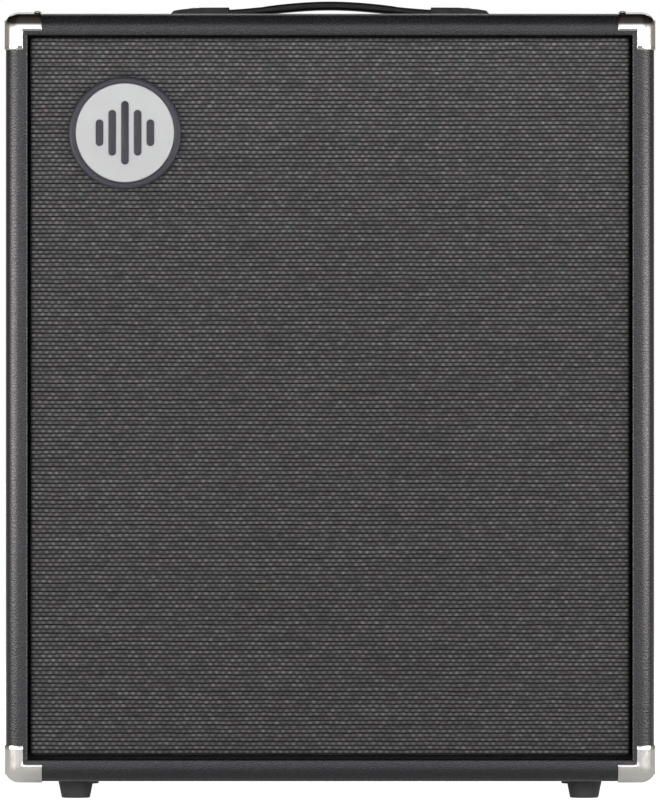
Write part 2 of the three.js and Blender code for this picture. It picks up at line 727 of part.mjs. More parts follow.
const FLOOR = MIDDLE - INNER_Z + GAP;
const CROSSOVER = { x: 150, y: 60 };

function addCrossover() {
  const group = addGroup(cabinet, CROSSOVER.x, CROSSOVER.y, FLOOR);
  const board = block(plusMinus(60), plusMinus(45), [6, 7.6]);
  const standoffs = [-1, 1].flatMap((sx) =>
    [-1, 1].map((sy) => block(around(sx * 52, 4), around(sy * 37, 4), [0, 6.1])),
  );
  const coil = new THREE.CylinderGeometry(22, 22, 24, SMALL_ROUND);
  coil.rotateX(Math.PI / 2);
  coil.translate(-26, 8, 19.5);
  const capacitors = [-18, 8].map((y) => {
    const can = new THREE.CylinderGeometry(9, 9, 40, 12);
    can.rotateZ(Math.PI / 2);
    can.translate(28, y, 16.5);
    return solid(can);
  });
  const populated = union([board, ...standoffs, solid(coil), ...capacitors]);
  add(group, "crossover_board", populated, FINISH.circuitBoard);
}

function addCables() {
  const tubBack = PLATE_FACE - AMP_PLATE - GAP - AMP_TUB_DEPTH;
  const board = FLOOR + 7.9;
  const above = board + 14;
  const toCrossover = [
    [90, tubBack - 1, AMP_Z - 40], [92, tubBack - 22, AMP_Z - 46],
    [120, tubBack - 36, AMP_Z - 110], [206, 62, 240], [212, 66, 110],
    [196, 84, above], [196, 84, board],
  ];
  add(cabinet, "amp_cable", cable(toCrossover, 3, 26), FINISH.rubber);
  const toWoofer = [
    [176, 29, board], [176, 29, above], [176, 0, 130],
    [160, -20, 190], [136, -50, 224], [112, -64, 236],
  ];
  add(cabinet, "woofer_cable", cable(toWoofer, 2.5, 20), FINISH.rubber);
  const driverBack = BAFFLE_FACE + 128.4;
  const toTreble = [
    [204, 30, board], [204, 30, above], [222, 20, 100], [222, 0, 260], [216, -10, 400],
    [150, -10, 460], [60, -12, 500], [22, -20, 514], [16, -32, 516], [16, driverBack, 516],
  ];
  add(cabinet, "treble_cable", cable(toTreble, 2, 28), FINISH.rubber);
}

addBoards();
addVinyl();
addBaffle();
addBackPanel();
addCorners();
addFeet();
addHandle();
addGrille();
addBadge();
addWoofer();
addTreble();
addPorts();
addAmplifier();
addCrossover();
addCables();

export default cabinet;
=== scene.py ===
# The looks of a powered bass speaker cabinet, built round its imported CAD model.
# Lengths are in millimetres and are turned to metres where a mesh is made. Lights are placed in metres.

import json
import math

import bmesh
import bpy
from mathutils import Matrix, Vector


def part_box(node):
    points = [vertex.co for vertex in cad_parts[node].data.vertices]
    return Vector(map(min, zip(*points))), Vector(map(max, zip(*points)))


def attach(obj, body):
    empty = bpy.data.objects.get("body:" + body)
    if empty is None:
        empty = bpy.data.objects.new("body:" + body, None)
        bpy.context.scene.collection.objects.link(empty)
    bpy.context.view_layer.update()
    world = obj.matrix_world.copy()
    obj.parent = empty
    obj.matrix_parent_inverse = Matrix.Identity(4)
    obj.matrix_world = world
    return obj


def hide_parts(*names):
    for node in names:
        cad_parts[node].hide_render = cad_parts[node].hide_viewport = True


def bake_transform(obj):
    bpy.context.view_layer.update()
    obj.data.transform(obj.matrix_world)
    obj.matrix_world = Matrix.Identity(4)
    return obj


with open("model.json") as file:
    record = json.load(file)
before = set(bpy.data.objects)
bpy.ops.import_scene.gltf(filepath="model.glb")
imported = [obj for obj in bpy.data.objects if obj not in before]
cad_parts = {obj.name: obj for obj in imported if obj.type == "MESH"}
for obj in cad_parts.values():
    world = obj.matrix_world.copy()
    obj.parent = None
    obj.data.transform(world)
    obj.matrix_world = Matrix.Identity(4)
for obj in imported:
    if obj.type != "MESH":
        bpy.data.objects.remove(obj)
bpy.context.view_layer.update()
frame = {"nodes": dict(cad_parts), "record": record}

MM = 0.001
TAU = 2 * math.pi
SIDES = (("left", -1), ("right", 1))


def cad(node):
    """The lowest and highest corner of a CAD node, in millimetres."""
    low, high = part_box(node)
    return [c / MM for c in low], [c / MM for c in high]


def middle_of(node):
    """The middle of a CAD node in X and Z."""
    low, high = cad(node)
    return (low[0] + high[0]) / 2, (low[2] + high[2]) / 2


# ---------------------------------------------------------------- the cabinet's dimensions

BODY_LOW, BODY_HIGH = cad("vinyl_covering")
HALF_WIDTH = BODY_HIGH[0]
HALF_DEPTH = BODY_HIGH[1]
BASE = BODY_LOW[2]
TOP = BODY_HIGH[2]
HALF_HEIGHT = (TOP - BASE) / 2
MIDDLE = (TOP + BASE) / 2
EDGE_RADIUS = 10
LIP = 17  # width of the box's front edge, from its outer face to the mouth

# ---------------------------------------------------------------- camera

SENSOR = 36
CAMERA_DISTANCE = 8000  # from the cabinet's front
FRAME_HEIGHT = 616.2  # what the picture takes in at the cabinet's front
CAMERA_HEIGHT = 308.1


def make_camera():
    data = bpy.data.cameras.new("camera")
    data.sensor_width = SENSOR
    data.lens = SENSOR * CAMERA_DISTANCE / FRAME_HEIGHT
    data.clip_end = 60
    camera = bpy.data.objects.new("camera", data)
    camera.location = (0, -(HALF_DEPTH + CAMERA_DISTANCE) * MM, CAMERA_HEIGHT * MM)
    camera.rotation_euler = (math.pi / 2, 0, 0)
    bpy.context.scene.collection.objects.link(camera)
    bpy.context.scene.camera = camera


make_camera()

# ---------------------------------------------------------------- materials


class Nodes:
    """Adds shader nodes to a tree and returns their output sockets."""

    def __init__(self, tree):
        self.tree = tree

    def set(self, socket, value):
        if isinstance(value, bpy.types.NodeSocket):
            self.tree.links.new(value, socket)
        else:
            socket.default_value = value

    def node(self, kind, inputs=(), **attributes):
        node = self.tree.nodes.new(kind)
        for key, value in attributes.items():
            setattr(node, key, value)
        for key, value in dict(inputs).items():
            self.set(node.inputs[key], value)
        return node

    def math(self, operation, a, b=0.0):
        return self.node("ShaderNodeMath", {0: a, 1: b}, operation=operation).outputs[0]

    def ramp(self, factor, low, high, to_low=0.0, to_high=1.0):
        inputs = {"Value": factor, "From Min": low, "From Max": high, "To Min": to_low, "To Max": to_high}
        return self.node("ShaderNodeMapRange", inputs).outputs["Result"]

    def mix(self, factor, a, b, blend_type="MIX"):
        """A colour between a and b, which are colours or sockets."""
        a, b = (value if isinstance(value, bpy.types.NodeSocket) else (*value, 1) for value in (a, b))
        inputs = {0: factor, 6: a, 7: b}
        return self.node("ShaderNodeMix", inputs, data_type="RGBA", blend_type=blend_type).outputs[2]


class Maker(Nodes):
    """A node material. Settings are the shader's own values."""

    def __init__(self, name, **settings):
        self.material = bpy.data.materials.new(name)
        self.material.use_nodes = True
        super().__init__(self.material.node_tree)
        self.shader = self.tree.nodes["Principled BSDF"]
        self.coordinates = self.tree.nodes.new("ShaderNodeTexCoord").outputs["Object"]
        for socket, value in settings.items():
            self.shader.inputs[socket.replace("_", " ")].default_value = value

    def place(self, scale=(1, 1, 1)):
        """The object's coordinates, in millimetres times scale."""
        inputs = {"Vector": self.coordinates, "Scale": [s / MM for s in scale]}
        return self.node("ShaderNodeMapping", inputs).outputs["Vector"]

    def noise(self, size, detail=3, rough=0.5, scale=(1, 1, 1)):
        """Noise with features of about that size in millimetres."""
        inputs = {"Vector": self.place(scale), "Scale": 1 / size, "Detail": detail, "Roughness": rough}
        return self.node("ShaderNodeTexNoise", inputs).outputs["Fac"]

    def cells(self, size):
        """Distance to the edge of cells of about that size in millimetres."""
        inputs = {"Vector": self.place(), "Scale": 1 / size}
        return self.node("ShaderNodeTexVoronoi", inputs, feature="DISTANCE_TO_EDGE").outputs["Distance"]

    def color(self, socket):
        self.set(self.shader.inputs["Base Color"], socket)

    def roughness(self, socket):
        self.set(self.shader.inputs["Roughness"], socket)

    def bump(self, height, depth, strength=1.0):
        """Relief of that depth in millimetres where height goes from 0 to 1. Returns the material."""
        inputs = {"Height": height, "Distance": depth * MM, "Strength": strength}
        self.set(self.shader.inputs["Normal"], self.node("ShaderNodeBump", inputs).outputs["Normal"])
        return self.material


def grey(value):
    return (value, value, value)


def vinyl_material():
    """Black vinyl with a pebbled leather grain."""
    m = Maker("vinyl", Specular_IOR_Level=0.5)
    pebbles = m.ramp(m.cells(2.1), 0.0, 0.22)
    creases = m.noise(2.0, 2, 0.5)
    grain = m.math("ADD", m.math("MULTIPLY", pebbles, 0.6), m.math("MULTIPLY", creases, 0.6))
    worn = m.ramp(m.noise(45, 3), 0.35, 0.65)
    tone = m.mix(worn, (0.0072, 0.0073, 0.0094), (0.0094, 0.0096, 0.0120))
    # The crevices between the pebbles are painted darker than the vinyl: painted shade in the grain.
    m.color(m.mix(m.ramp(pebbles, 0.0, 0.6), (0.004, 0.0038, 0.004), tone))
    m.roughness(m.ramp(grain, 0.25, 1.0, 0.32, 0.17))
    return m.bump(grain, 0.10, 0.8)


ROW = 3.21  # pitch of the cloth's rows
STITCH = 5.14  # pitch of the floats along a row, staggered by half from row to row
# Colour of the deep gaps between rows: painted shade.
DEEP_GAP_SHADE = grey(0.004)
SHADED_ROW, LIT_ROW = grey(0.0055), grey(0.023)
WARM_FLOAT, COOL_FLOAT = (0.139, 0.133, 0.133), (0.122, 0.132, 0.138)


def cloth_material():
    """Black cloth with pale floats in rows. Every second gap between rows is deep and painted dark: painted
    shade.
    """
    m = Maker("grille_cloth", Roughness=0.85, Specular_IOR_Level=0.2)
    flat = m.node("ShaderNodeSeparateXYZ", {"Vector": m.place()})
    x, z = flat.outputs["X"], flat.outputs["Z"]
    # The threads wander a little.
    z = m.math("ADD", z, m.math("MULTIPLY", m.math("SUBTRACT", m.noise(22, 2), 0.5), 0.9))
    x = m.math("ADD", x, m.math("MULTIPLY", m.math("SUBTRACT", m.noise(40, 2), 0.5), 2.0))
    row_at = m.math("DIVIDE", z, ROW)
    row = m.math("FLOOR", row_at)
    odd = m.math("MODULO", m.math("ADD", row, 1000.0), 2.0)
    from_middle = m.math("ABSOLUTE", m.math("SUBTRACT", m.math("FRACT", row_at), 0.5))
    # 1 along the middle of a row, 0 in the gap to the next.
    ridge = m.ramp(from_middle, 0.24, 0.46, 1.0, 0.0)
    pair = m.math("FRACT", m.math("DIVIDE", z, 2 * ROW))
    # Where the deep gaps are: they are painted dark as shade and sunk in the relief.
    deep = m.ramp(m.math("ABSOLUTE", m.math("SUBTRACT", pair, 0.5)), 0.40, 0.46)
    along = m.math("ADD", m.math("DIVIDE", x, STITCH), m.math("MULTIPLY", odd, 0.5))
    swell = m.math("COSINE", m.math("MULTIPLY", along, TAU))
    swell = m.math("ADD", m.math("MULTIPLY", swell, 0.5), 0.5)
    swell = m.math("ADD", m.math("MULTIPLY", m.math("POWER", swell, 1.5), 0.78), 0.22)
    # Each float has its own brightness.
    cell = m.node("ShaderNodeCombineXYZ", {"X": m.math("FLOOR", m.math("ADD", along, 0.5)), "Y": row})
    chance = m.node("ShaderNodeTexWhiteNoise", {"Vector": cell.outputs["Vector"]}).outputs["Value"]
    own = m.ramp(chance, 0.0, 1.0, 0.50, 1.0)
    fibre = m.ramp(m.noise(1.4, 2, 0.6, scale=(0.6, 1, 1)), 0.32, 0.68, 0.45, 1.2)
    bright = m.math("MULTIPLY", m.math("MULTIPLY", m.math("MULTIPLY", swell, own), ridge), fibre)
    tint = m.mix(m.ramp(m.noise(7, 1), 0.42, 0.58), WARM_FLOAT, COOL_FLOAT)
    row_tone = m.mix(ridge, SHADED_ROW, LIT_ROW)
    thread = m.mix(m.math("MULTIPLY", bright, 0.95), row_tone, tint)
    bands = m.ramp(m.noise(13, 2, scale=(0.2, 1, 1)), 0.38, 0.62, 0.35, 1.0)
    streak = m.ramp(m.noise(2.6, 1, 0.5, scale=(0.02, 1, 1)), 0.36, 0.64, 0.80, 1.0)
    m.color(m.mix(streak, grey(0.002), m.mix(m.math("MULTIPLY", deep, bands), thread, DEEP_GAP_SHADE)))
    height = m.math("SUBTRACT", m.math("ADD", m.math("MULTIPLY", bright, 0.5), ridge), deep)
    return m.bump(height, 0.35, 0.8)


def nickel_material():
    m = Maker("nickel", Metallic=1.0, Roughness=0.2)
    m.color(m.mix(m.noise(14, 4, 0.6), (0.55, 0.540, 0.510), (0.60, 0.592, 0.565)))
    scuffs = m.noise(2.2, 4, 0.7, scale=(1, 1, 0.2))
    m.roughness(m.ramp(scuffs, 0.3, 0.75, 0.09, 0.20))
    return m.bump(m.noise(9, 2), 0.05, 0.4)


def moulded(name, low, high, rough=(0.45, 0.6), grain=0.5, depth=0.05, **settings):
    """Moulded rubber or plastic: fine texture and a little unevenness in colour."""
    m = Maker(name, **settings)
    m.color(m.mix(m.ramp(m.noise(18, 3), 0.35, 0.65), low, high))
    m.roughness(m.ramp(m.noise(6, 3), 0.3, 0.7, *rough))
    return m.bump(m.noise(grain, 2, 0.6), depth, 0.6)


def metal(name, low, high, rough=(0.25, 0.45), brushed=(1, 1, 1), depth=0.03, metallic=1.0):
    """Plated or anodised metal, brushed along the axis with the smallest scale."""
    m = Maker(name, Metallic=metallic)
    lines = m.noise(0.8, 3, 0.6, scale=brushed)
    m.color(m.mix(m.ramp(m.noise(12, 3), 0.3, 0.7), low, high))
    m.roughness(m.ramp(lines, 0.3, 0.7, *rough))
    return m.bump(lines, depth, 0.4)


def wood(name, low, high, rough, size, grain, depth, strength):
    """Wood grain, drawn out along the axis with the smallest scale."""
    m = Maker(name, Roughness=rough)
    stretch = m.noise(size, 5, 0.65, scale=grain)
    m.color(m.mix(m.ramp(stretch, 0.3, 0.7), low, high))
    return m.bump(stretch, depth, strength)


def paper_material():
    m = Maker("cone_paper", Roughness=0.92)
    fibres = m.noise(1.4, 6, 0.75)
    m.color(m.mix(m.ramp(fibres, 0.35, 0.7), grey(0.010), grey(0.030)))
    return m.bump(fibres, 0.15, 0.8)


def board_material():
    m = Maker("circuit_board", Roughness=0.35)
    tracks = m.ramp(m.cells(5), 0.08, 0.1)
    m.color(m.mix(tracks, (0.03, 0.20, 0.07), (0.008, 0.085, 0.035)))
    return m.bump(tracks, 0.04, 0.6)


PLY_DARK, PLY_PALE = (0.34, 0.20, 0.095), (0.58, 0.40, 0.22)
RING_DARK, RING_PALE = (0.0155, 0.016, 0.025), (0.0180, 0.0186, 0.028)
DISC_DARK, DISC_PALE = (0.312, 0.324, 0.326), (0.324, 0.337, 0.340)
ZINC_DARK, ZINC_PALE = (0.42, 0.43, 0.45), (0.55, 0.56, 0.57)
SPIDER_DARK, SPIDER_PALE = (0.30, 0.16, 0.06), (0.38, 0.22, 0.09)
COPPER_DARK, COPPER_PALE = (0.70, 0.28, 0.11), (0.80, 0.36, 0.17)
LENS_DARK, LENS_PALE = (0.02, 0.16, 0.04), (0.03, 0.20, 0.05)
UPRIGHT = (1, 1, 0.05)  # grain along Z

MATERIALS = {
    "vinyl": vinyl_material(),
    "grille_cloth": cloth_material(),
    "nickel": nickel_material(),
    "plywood": wood("plywood", PLY_DARK, PLY_PALE, 0.75, 6, (1, 0.06, 1), 0.08, 0.5),
    "black_paint": wood("black_paint", grey(0.008), grey(0.018), 0.8, 5, UPRIGHT, 0.12, 0.6),
    "cone_paper": paper_material(),
    "circuit_board": board_material(),
    "foot_rubber": moulded("foot_rubber", grey(0.024), grey(0.034), (0.5, 0.7)),
    "handle_rubber": moulded(
        "handle_rubber", grey(0.004), grey(0.006), (0.34, 0.48), depth=0.02, Specular_IOR_Level=0.3,
    ),
    "black_plastic": moulded("black_plastic", grey(0.009), grey(0.013), (0.42, 0.58), 0.7),
    "badge_ring": moulded("badge_ring", RING_DARK, RING_PALE, depth=0.01),
    "badge_disc": metal("badge_disc", DISC_DARK, DISC_PALE, (0.34, 0.46), UPRIGHT, 0.01, 0.1),
    "pressed_steel": moulded("pressed_steel", grey(0.012), grey(0.018), (0.3, 0.45), 1.2),
    "surround_rubber": moulded("surround_rubber", grey(0.012), grey(0.020), (0.5, 0.7), 0.8),
    "ferrite": moulded("ferrite", grey(0.040), grey(0.055), (0.55, 0.75), 0.9),
    "zinc_steel": metal("zinc_steel", ZINC_DARK, ZINC_PALE),
    "connector_metal": metal("connector_metal", grey(0.45), grey(0.55), (0.2, 0.35)),
    "spider_cloth": moulded("spider_cloth", SPIDER_DARK, SPIDER_PALE, (0.7, 0.85), 0.8),
    "copper": metal("copper", COPPER_DARK, COPPER_PALE, (0.25, 0.35), (1, 0.1, 1)),
    "powder_coat": moulded("powder_coat", grey(0.022), grey(0.030), (0.5, 0.65), 0.6, 0.12),
    "black_aluminium": metal("black_aluminium", grey(0.022), grey(0.030), (0.35, 0.5), UPRIGHT),
    "cable_rubber": moulded("cable_rubber", grey(0.016), grey(0.024), (0.5, 0.65)),
    "lens": moulded("lens", LENS_DARK, LENS_PALE, (0.08, 0.12), depth=0.0),
    "print": moulded("print", grey(0.55), grey(0.62), (0.5, 0.6)),
}

# ---------------------------------------------------------------- making meshes

SHARP_ANGLE = math.radians(38)


def quarter(steps):
    """Angles from 0 to a right angle."""
    return [math.pi / 2 * i / steps for i in range(steps + 1)]


def skin(rings, closed_along=False, caps=False, bm=None):
    """Quads between rings of points, which all have the same number."""
    bm = bm or bmesh.new()
    made = [[bm.verts.new(p) for p in ring] for ring in rings]
    pairs = list(zip(made, made[1:]))
    if closed_along:
        pairs.append((made[-1], made[0]))
    count = len(rings[0])
    for a, b in pairs:
        for i in range(count):
            j = (i + 1) % count
            bm.faces.new((a[i], a[j], b[j], b[i]))
    if caps:
        bm.faces.new(made[0][::-1])
        bm.faces.new(made[-1])
    return bm


def turned(profile, at=(0, 0, 0), axis="Y", sides=64, bm=None):
    """A solid of revolution. The profile is a list of (radius, distance along the axis)."""
    def point(radius, along, angle):
        a, b = radius * math.cos(angle), radius * math.sin(angle)
        offset = {"Y": (a, along, b), "Z": (a, b, along)}[axis]
        return tuple(c + o for c, o in zip(at, offset))

    open_ends = profile[0][0] > 0 or profile[-1][0] > 0
    rings = [[point(max(r, 1e-4), y, TAU * i / sides) for i in range(sides)] for r, y in profile]
    bm = skin(rings, closed_along=open_ends, caps=not open_ends, bm=bm)
    bmesh.ops.remove_doubles(bm, verts=bm.verts, dist=0.001)
    return bm


def block(low, high, bevel=0.0, segments=2, bm=None):
    """A box between two corners, with its edges rounded."""
    bm = bm or bmesh.new()
    made = bmesh.ops.create_cube(bm, size=1)["verts"]
    bmesh.ops.scale(bm, vec=[h - l for l, h in zip(low, high)], verts=made)
    bmesh.ops.translate(bm, vec=[(h + l) / 2 for l, h in zip(low, high)], verts=made)
    if bevel:
        edges = {e for v in made for e in v.link_edges}
        bmesh.ops.bevel(
            bm, geom=list(edges), offset=bevel, segments=segments, profile=0.5, affect="EDGES",
        )
    return bm


def prism(outline, y, bm=None):
    """An outline in X and Z between two values of Y."""
    return skin([[(x, depth, z) for x, z in outline] for depth in y], caps=True, bm=bm)


def moved(bm, matrix):
    bmesh.ops.transform(bm, matrix=matrix, verts=bm.verts)
    return bm


def joined(parts):
    """One mesh made of several, which are freed."""
    whole = bmesh.new()
    for part in parts:
        mesh = bpy.data.meshes.new("part")
        part.to_mesh(mesh)
        part.free()
        whole.from_mesh(mesh)
    return whole


def rounded(points, radius, steps=4):
    """A line of 2-D points with its corners rounded."""
    out = [points[0]]
    for before, corner, after in zip(points, points[1:], points[2:]):
        c = Vector(corner)
        into, out_of = Vector(before) - c, Vector(after) - c
        reach = min(radius, into.length * 0.45, out_of.length * 0.45)
        start, end = c + into.normalized() * reach, c + out_of.normalized() * reach
        for i in range(steps + 1):
            t = i / steps
            out.append(tuple(start * (1 - t) ** 2 + c * 2 * t * (1 - t) + end * t * t))
    out.append(points[-1])
    return out


def rounded_rectangle(half_x, half_z, radius, steps=6):
    """Points round a rectangle in X and Z, from the right side's lower end."""
    radius = max(radius, 0.05)
    points = []
    for turn, (sx, sz) in enumerate(((1, 1), (-1, 1), (-1, -1), (1, -1))):
        for i in range(steps + 1):
            angle = math.pi / 2 * (turn + i / steps)
            x = sx * (half_x - radius) + radius * math.cos(angle)
            z = sz * (half_z - radius) + radius * math.sin(angle)
            points.append((x, z))
    return points


# ---------------------------------------------------------------- making pieces


def new_object(name, bm):
    """An object from a mesh in millimetres."""
    bmesh.ops.recalc_face_normals(bm, faces=bm.faces)
    mesh = bpy.data.meshes.new(name)
    bm.to_mesh(mesh)
    bm.free()
    mesh.transform(Matrix.Scale(MM, 4))
    thing = bpy.data.objects.new(name, mesh)
    bpy.context.scene.collection.objects.link(thing)
    return thing


def piece(name, bm, slot, body="cabinet", replaces=None, smooth=True, material=None, tool=None):
    """A finished piece. A tool is a mesh cut out of it."""
    thing = new_object(name, bm)
    thing.data.materials.append(MATERIALS[material or slot])
    if smooth:
        thing.data.shade_smooth()
        thing.data.set_sharp_from_angle(angle=SHARP_ANGLE)
    if replaces:
        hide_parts(replaces)
    if tool:
        cut(thing, tool)
    if body:
        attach(thing, body)
    return thing


def cut(thing, tool_mesh):
    tool = new_object("tool", tool_mesh)
    boolean = thing.modifiers.new("cut", "BOOLEAN")
    boolean.object = tool
    boolean.operation = "DIFFERENCE"
    boolean.solver = "EXACT"
    boolean.use_self = True
    graph = bpy.context.evaluated_depsgraph_get()
    mesh = bpy.data.meshes.new_from_object(thing.evaluated_get(graph))
    thing.modifiers.clear()
    thing.data = mesh
    bpy.data.objects.remove(tool)


def soften(thing, width, segments=2, angle=30):
    """Rounds the edges of a piece or a CAD node."""
    edge = thing.modifiers.new("edge", "BEVEL")
    edge.width = width * MM
    edge.segments = segments
    edge.limit_method = "ANGLE"
    edge.angle_limit = math.radians(angle)
    edge.harden_normals = False


def lathe_piece(name, profile, slot, at, body="cabinet", replaces=None, sides=96, axis="Y"):
    return piece(name, turned(profile, at, axis, sides), slot, body, replaces)


def screw(name, at, normal, radius, slot="nickel", rise=1.2, turn=0.0):
    """A domed screw head with a cross recess, standing on a surface."""
    dome = [(0.0, rise)]
    dome += [(radius * math.sin(a), rise * (0.15 + 0.85 * math.cos(a))) for a in quarter(6)[1:]]
    dome += [(radius, -0.2), (0.0, -0.2)]
    arm, half, low, high = radius * 0.55, radius * 0.13, rise * 0.35, rise * 2
    cross = block((-arm, -half, low), (arm, half, high))
    block((-half, -arm, low), (half, arm, high), bm=cross)
    way = Vector(normal).to_track_quat("Z", "Y").to_matrix().to_4x4()
    place = Matrix.Translation(Vector(at)) @ way @ Matrix.Rotation(turn, 4, "Z")
    head = moved(turned(dome, axis="Z", sides=24), place)
    piece(name, head, slot, tool=moved(cross, place))


# ---------------------------------------------------------------- the vinyl-covered box

SKIN = 0.7
CREASE = 1.0  # rounding at the mouth's edge
WRAP_FRONT = -174.3  # how far the covering reaches into each mouth
WRAP_BACK = 171


def make_vinyl():
    """The covering: a profile of (inset, y) swept round the box, wrapped into both mouths."""
    def half(sign, wrap, layer):
        """From the end of the wrap to the outer face. layer is 0 on the outside, SKIN on the inside."""
        end, inner, radius = HALF_DEPTH - layer, LIP - layer, EDGE_RADIUS - layer
        line = [(inner, wrap), (inner, sign * (end - CREASE))]
        line += [
            (inner - CREASE * (1 - math.cos(a)), sign * (end - CREASE + CREASE * math.sin(a)))
            for a in quarter(4)[1:]
        ]
        line += [
            (layer + radius * (1 - math.sin(a)), sign * (end - radius + radius * math.cos(a)))
            for a in quarter(8)
        ]
        return line

    outside = half(-1, WRAP_FRONT, 0) + half(1, WRAP_BACK, 0)[::-1]
    inside = half(-1, WRAP_FRONT, SKIN) + half(1, WRAP_BACK, SKIN)[::-1]
    rings = []
    for inset, y in outside + inside[::-1]:
        loop = rounded_rectangle(HALF_WIDTH - inset, HALF_HEIGHT - inset, EDGE_RADIUS - inset, steps=8)
        rings.append([(x, y, z + MIDDLE) for x, z in loop])
    piece("vinyl_covering_skin", skin(rings, closed_along=True), "vinyl", replaces="vinyl_covering")


make_vinyl()

# ---------------------------------------------------------------- metal corners

CORNER_LEG = 29
CORNER_LEG_WIDTH = 14.4
CORNER_PROUD = 1.0
CORNER_METAL = 0.8
CORNER_RADIUS = EDGE_RADIUS + CORNER_PROUD
CORNER_SCREW_RADIUS = 2.6
SCREW_ALONG = 24.5  # from a leg's end of the box to its screw
SCREW_ACROSS = 6.8


def edge_steps(radius, count=5):
    """Distances from a sharp edge that become even steps round a rounded one."""
    return [radius - radius * math.tan(math.radians(45) * (count - i) / count) for i in range(count + 1)]


def corner_lines():
    """Grid lines from the sharp corner to a leg's end."""
    half_way = CORNER_RADIUS + (CORNER_LEG_WIDTH - CORNER_RADIUS) * 0.5
    return edge_steps(CORNER_RADIUS, 6) + [half_way, CORNER_LEG_WIDTH, 17.5, 21.5, 25.5, CORNER_LEG]


def make_corner(name, signs):
    """A pressed corner: three L-shaped faces, rolled over the cabinet's rounded edges."""
    halves = [h + CORNER_PROUD for h in (HALF_WIDTH, HALF_DEPTH, HALF_HEIGHT)]
    lines = corner_lines()

    def place(depths):
        """depths are distances from the sharp corner along each axis."""
        core = [max(d, CORNER_RADIUS) for d in depths]
        away = Vector([c - d for c, d in zip(core, depths)])
        if away.length > 1e-6:
            away = away.normalized() * CORNER_RADIUS
        spot = [c - a for c, a in zip(core, away)]
        x, y, z = (s * (h - d) for s, h, d in zip(signs, halves, spot))
        return (x, y, z + MIDDLE)

    bm = bmesh.new()
    for axis in range(3):
        grid = {}
        for i, a in enumerate(lines):
            for j, b in enumerate(lines):
                if min(a, b) > CORNER_LEG_WIDTH + 0.01:
                    continue
                depths = [a, b]
                depths.insert(axis, 0.0)
                grid[i, j] = bm.verts.new(place(depths))
        for i, j in list(grid):
            quad = [(i, j), (i + 1, j), (i + 1, j + 1), (i, j + 1)]
            if all(q in grid for q in quad):
                bm.faces.new([grid[q] for q in quad])
    bmesh.ops.remove_doubles(bm, verts=bm.verts, dist=0.01)
    bmesh.ops.recalc_face_normals(bm, faces=bm.faces)
    outward = Vector(signs)
    if sum(f.normal.dot(outward) for f in bm.faces) < 0:
        bmesh.ops.reverse_faces(bm, faces=bm.faces)
    thing = piece(f"{name}_plated", bm, "nickel", replaces=name)
    solid = thing.modifiers.new("metal", "SOLIDIFY")
    solid.thickness = CORNER_METAL * MM
    solid.offset = -1
    soften(thing, 0.28, angle=50)


def make_corners():
    for end, sy in (("front", -1), ("rear", 1)):
        for level, sz in (("top", 1), ("bottom", -1)):
            for side, sx in SIDES:
                make_corner(f"corner_{end}_{level}_{side}", (sx, sy, sz))
                if sz > 0:
                    x, y = sx * (HALF_WIDTH - SCREW_ALONG), sy * (HALF_DEPTH - SCREW_ACROSS)
                    spot = (x, y, TOP + CORNER_PROUD - 0.1)
                    screw(f"corner_screw_{end}_{side}_over", spot, (0, 0, 1), CORNER_SCREW_RADIUS, turn=0.4)
                y, z = sy * (HALF_DEPTH - SCREW_ALONG), MIDDLE + sz * (HALF_HEIGHT - SCREW_ACROSS)
                spot = (sx * (HALF_WIDTH + CORNER_PROUD - 0.1), y, z)
                screw(
                    f"corner_screw_{end}_{level}_{side}_beside", spot, (sx, 0, 0), CORNER_SCREW_RADIUS,
                    rise=0.6, turn=1.1,
                )


make_corners()

# ---------------------------------------------------------------- rubber feet

FOOT_TOP, FOOT_SOLE = 13.7, 10.9  # radii
FOOT_HEIGHT = 13.65
FOOT_BORE, FOOT_BORE_DEPTH = 5, 6


def make_feet():
    for end in ("front", "rear"):
        for side in ("left", "right"):
            low, high = cad(f"foot_{end}_{side}")
            x, y = (low[0] + high[0]) / 2, (low[1] + high[1]) / 2
            outline = [
                (0, FOOT_BORE_DEPTH), (FOOT_BORE, FOOT_BORE_DEPTH), (FOOT_BORE, 0), (FOOT_SOLE, 0),
                (FOOT_TOP - 1.3, 7.5), (FOOT_TOP, FOOT_HEIGHT), (0, FOOT_HEIGHT),
            ]
            lathe_piece(
                f"foot_{end}_{side}_rubber", rounded(outline, 0.9), "foot_rubber", (x, y, 0),
                replaces=f"foot_{end}_{side}", sides=48, axis="Z",
            )
            spot = (x, y, FOOT_BORE_DEPTH - 0.1)
            screw(f"foot_screw_{end}_{side}", spot, (0, 0, -1), 4.2, rise=2.0, turn=0.3)


make_feet()

# ---------------------------------------------------------------- the strap handle

STRAP_LOW = 6.9  # height of the strap's middle line over the cabinet, at its ends
STRAP_RISE = 6.2
STRAP_BOW = 94  # half the length that bows
STRAP_HALF_WIDTH = 12.2
STRAP_HALF_THICK = 2.6
STRAP_END = 108
GRIP_REACH = 52
CAP_MOUTH, CAP_END, CAP_HALF_WIDTH = 79.5, 125.5, 17


def strap_middle(x):
    """Height of the strap's middle line above the cabinet."""
    share = min(abs(x) / STRAP_BOW, 1)
    return STRAP_LOW + STRAP_RISE * (1 + math.cos(math.pi * share)) / 2


def strap_ring(x, half_width, half_thick, corner):
    """A rounded section of the strap at x."""
    lean = math.atan(strap_middle(x + 0.5) - strap_middle(x - 0.5))
    return [
        (x - b * math.sin(lean), a, TOP + strap_middle(x) + b * math.cos(lean))
        for a, b in rounded_rectangle(half_width, half_thick, corner, steps=4)
    ]


def make_strap():
    """The strap is two halves that meet inside the grip."""
    steps = 56
    for side, sign in SIDES:
        xs = [sign * (0.2 + (STRAP_END - 0.2) * i / steps) for i in range(steps + 1)]
        bm = skin([strap_ring(x, STRAP_HALF_WIDTH, STRAP_HALF_THICK, 1.5) for x in xs], caps=True)
        replaced = "handle_strap" if sign < 0 else None
        half = piece(f"handle_strap_{side}", bm, "handle_rubber", body=None, replaces=replaced)
        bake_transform(half)


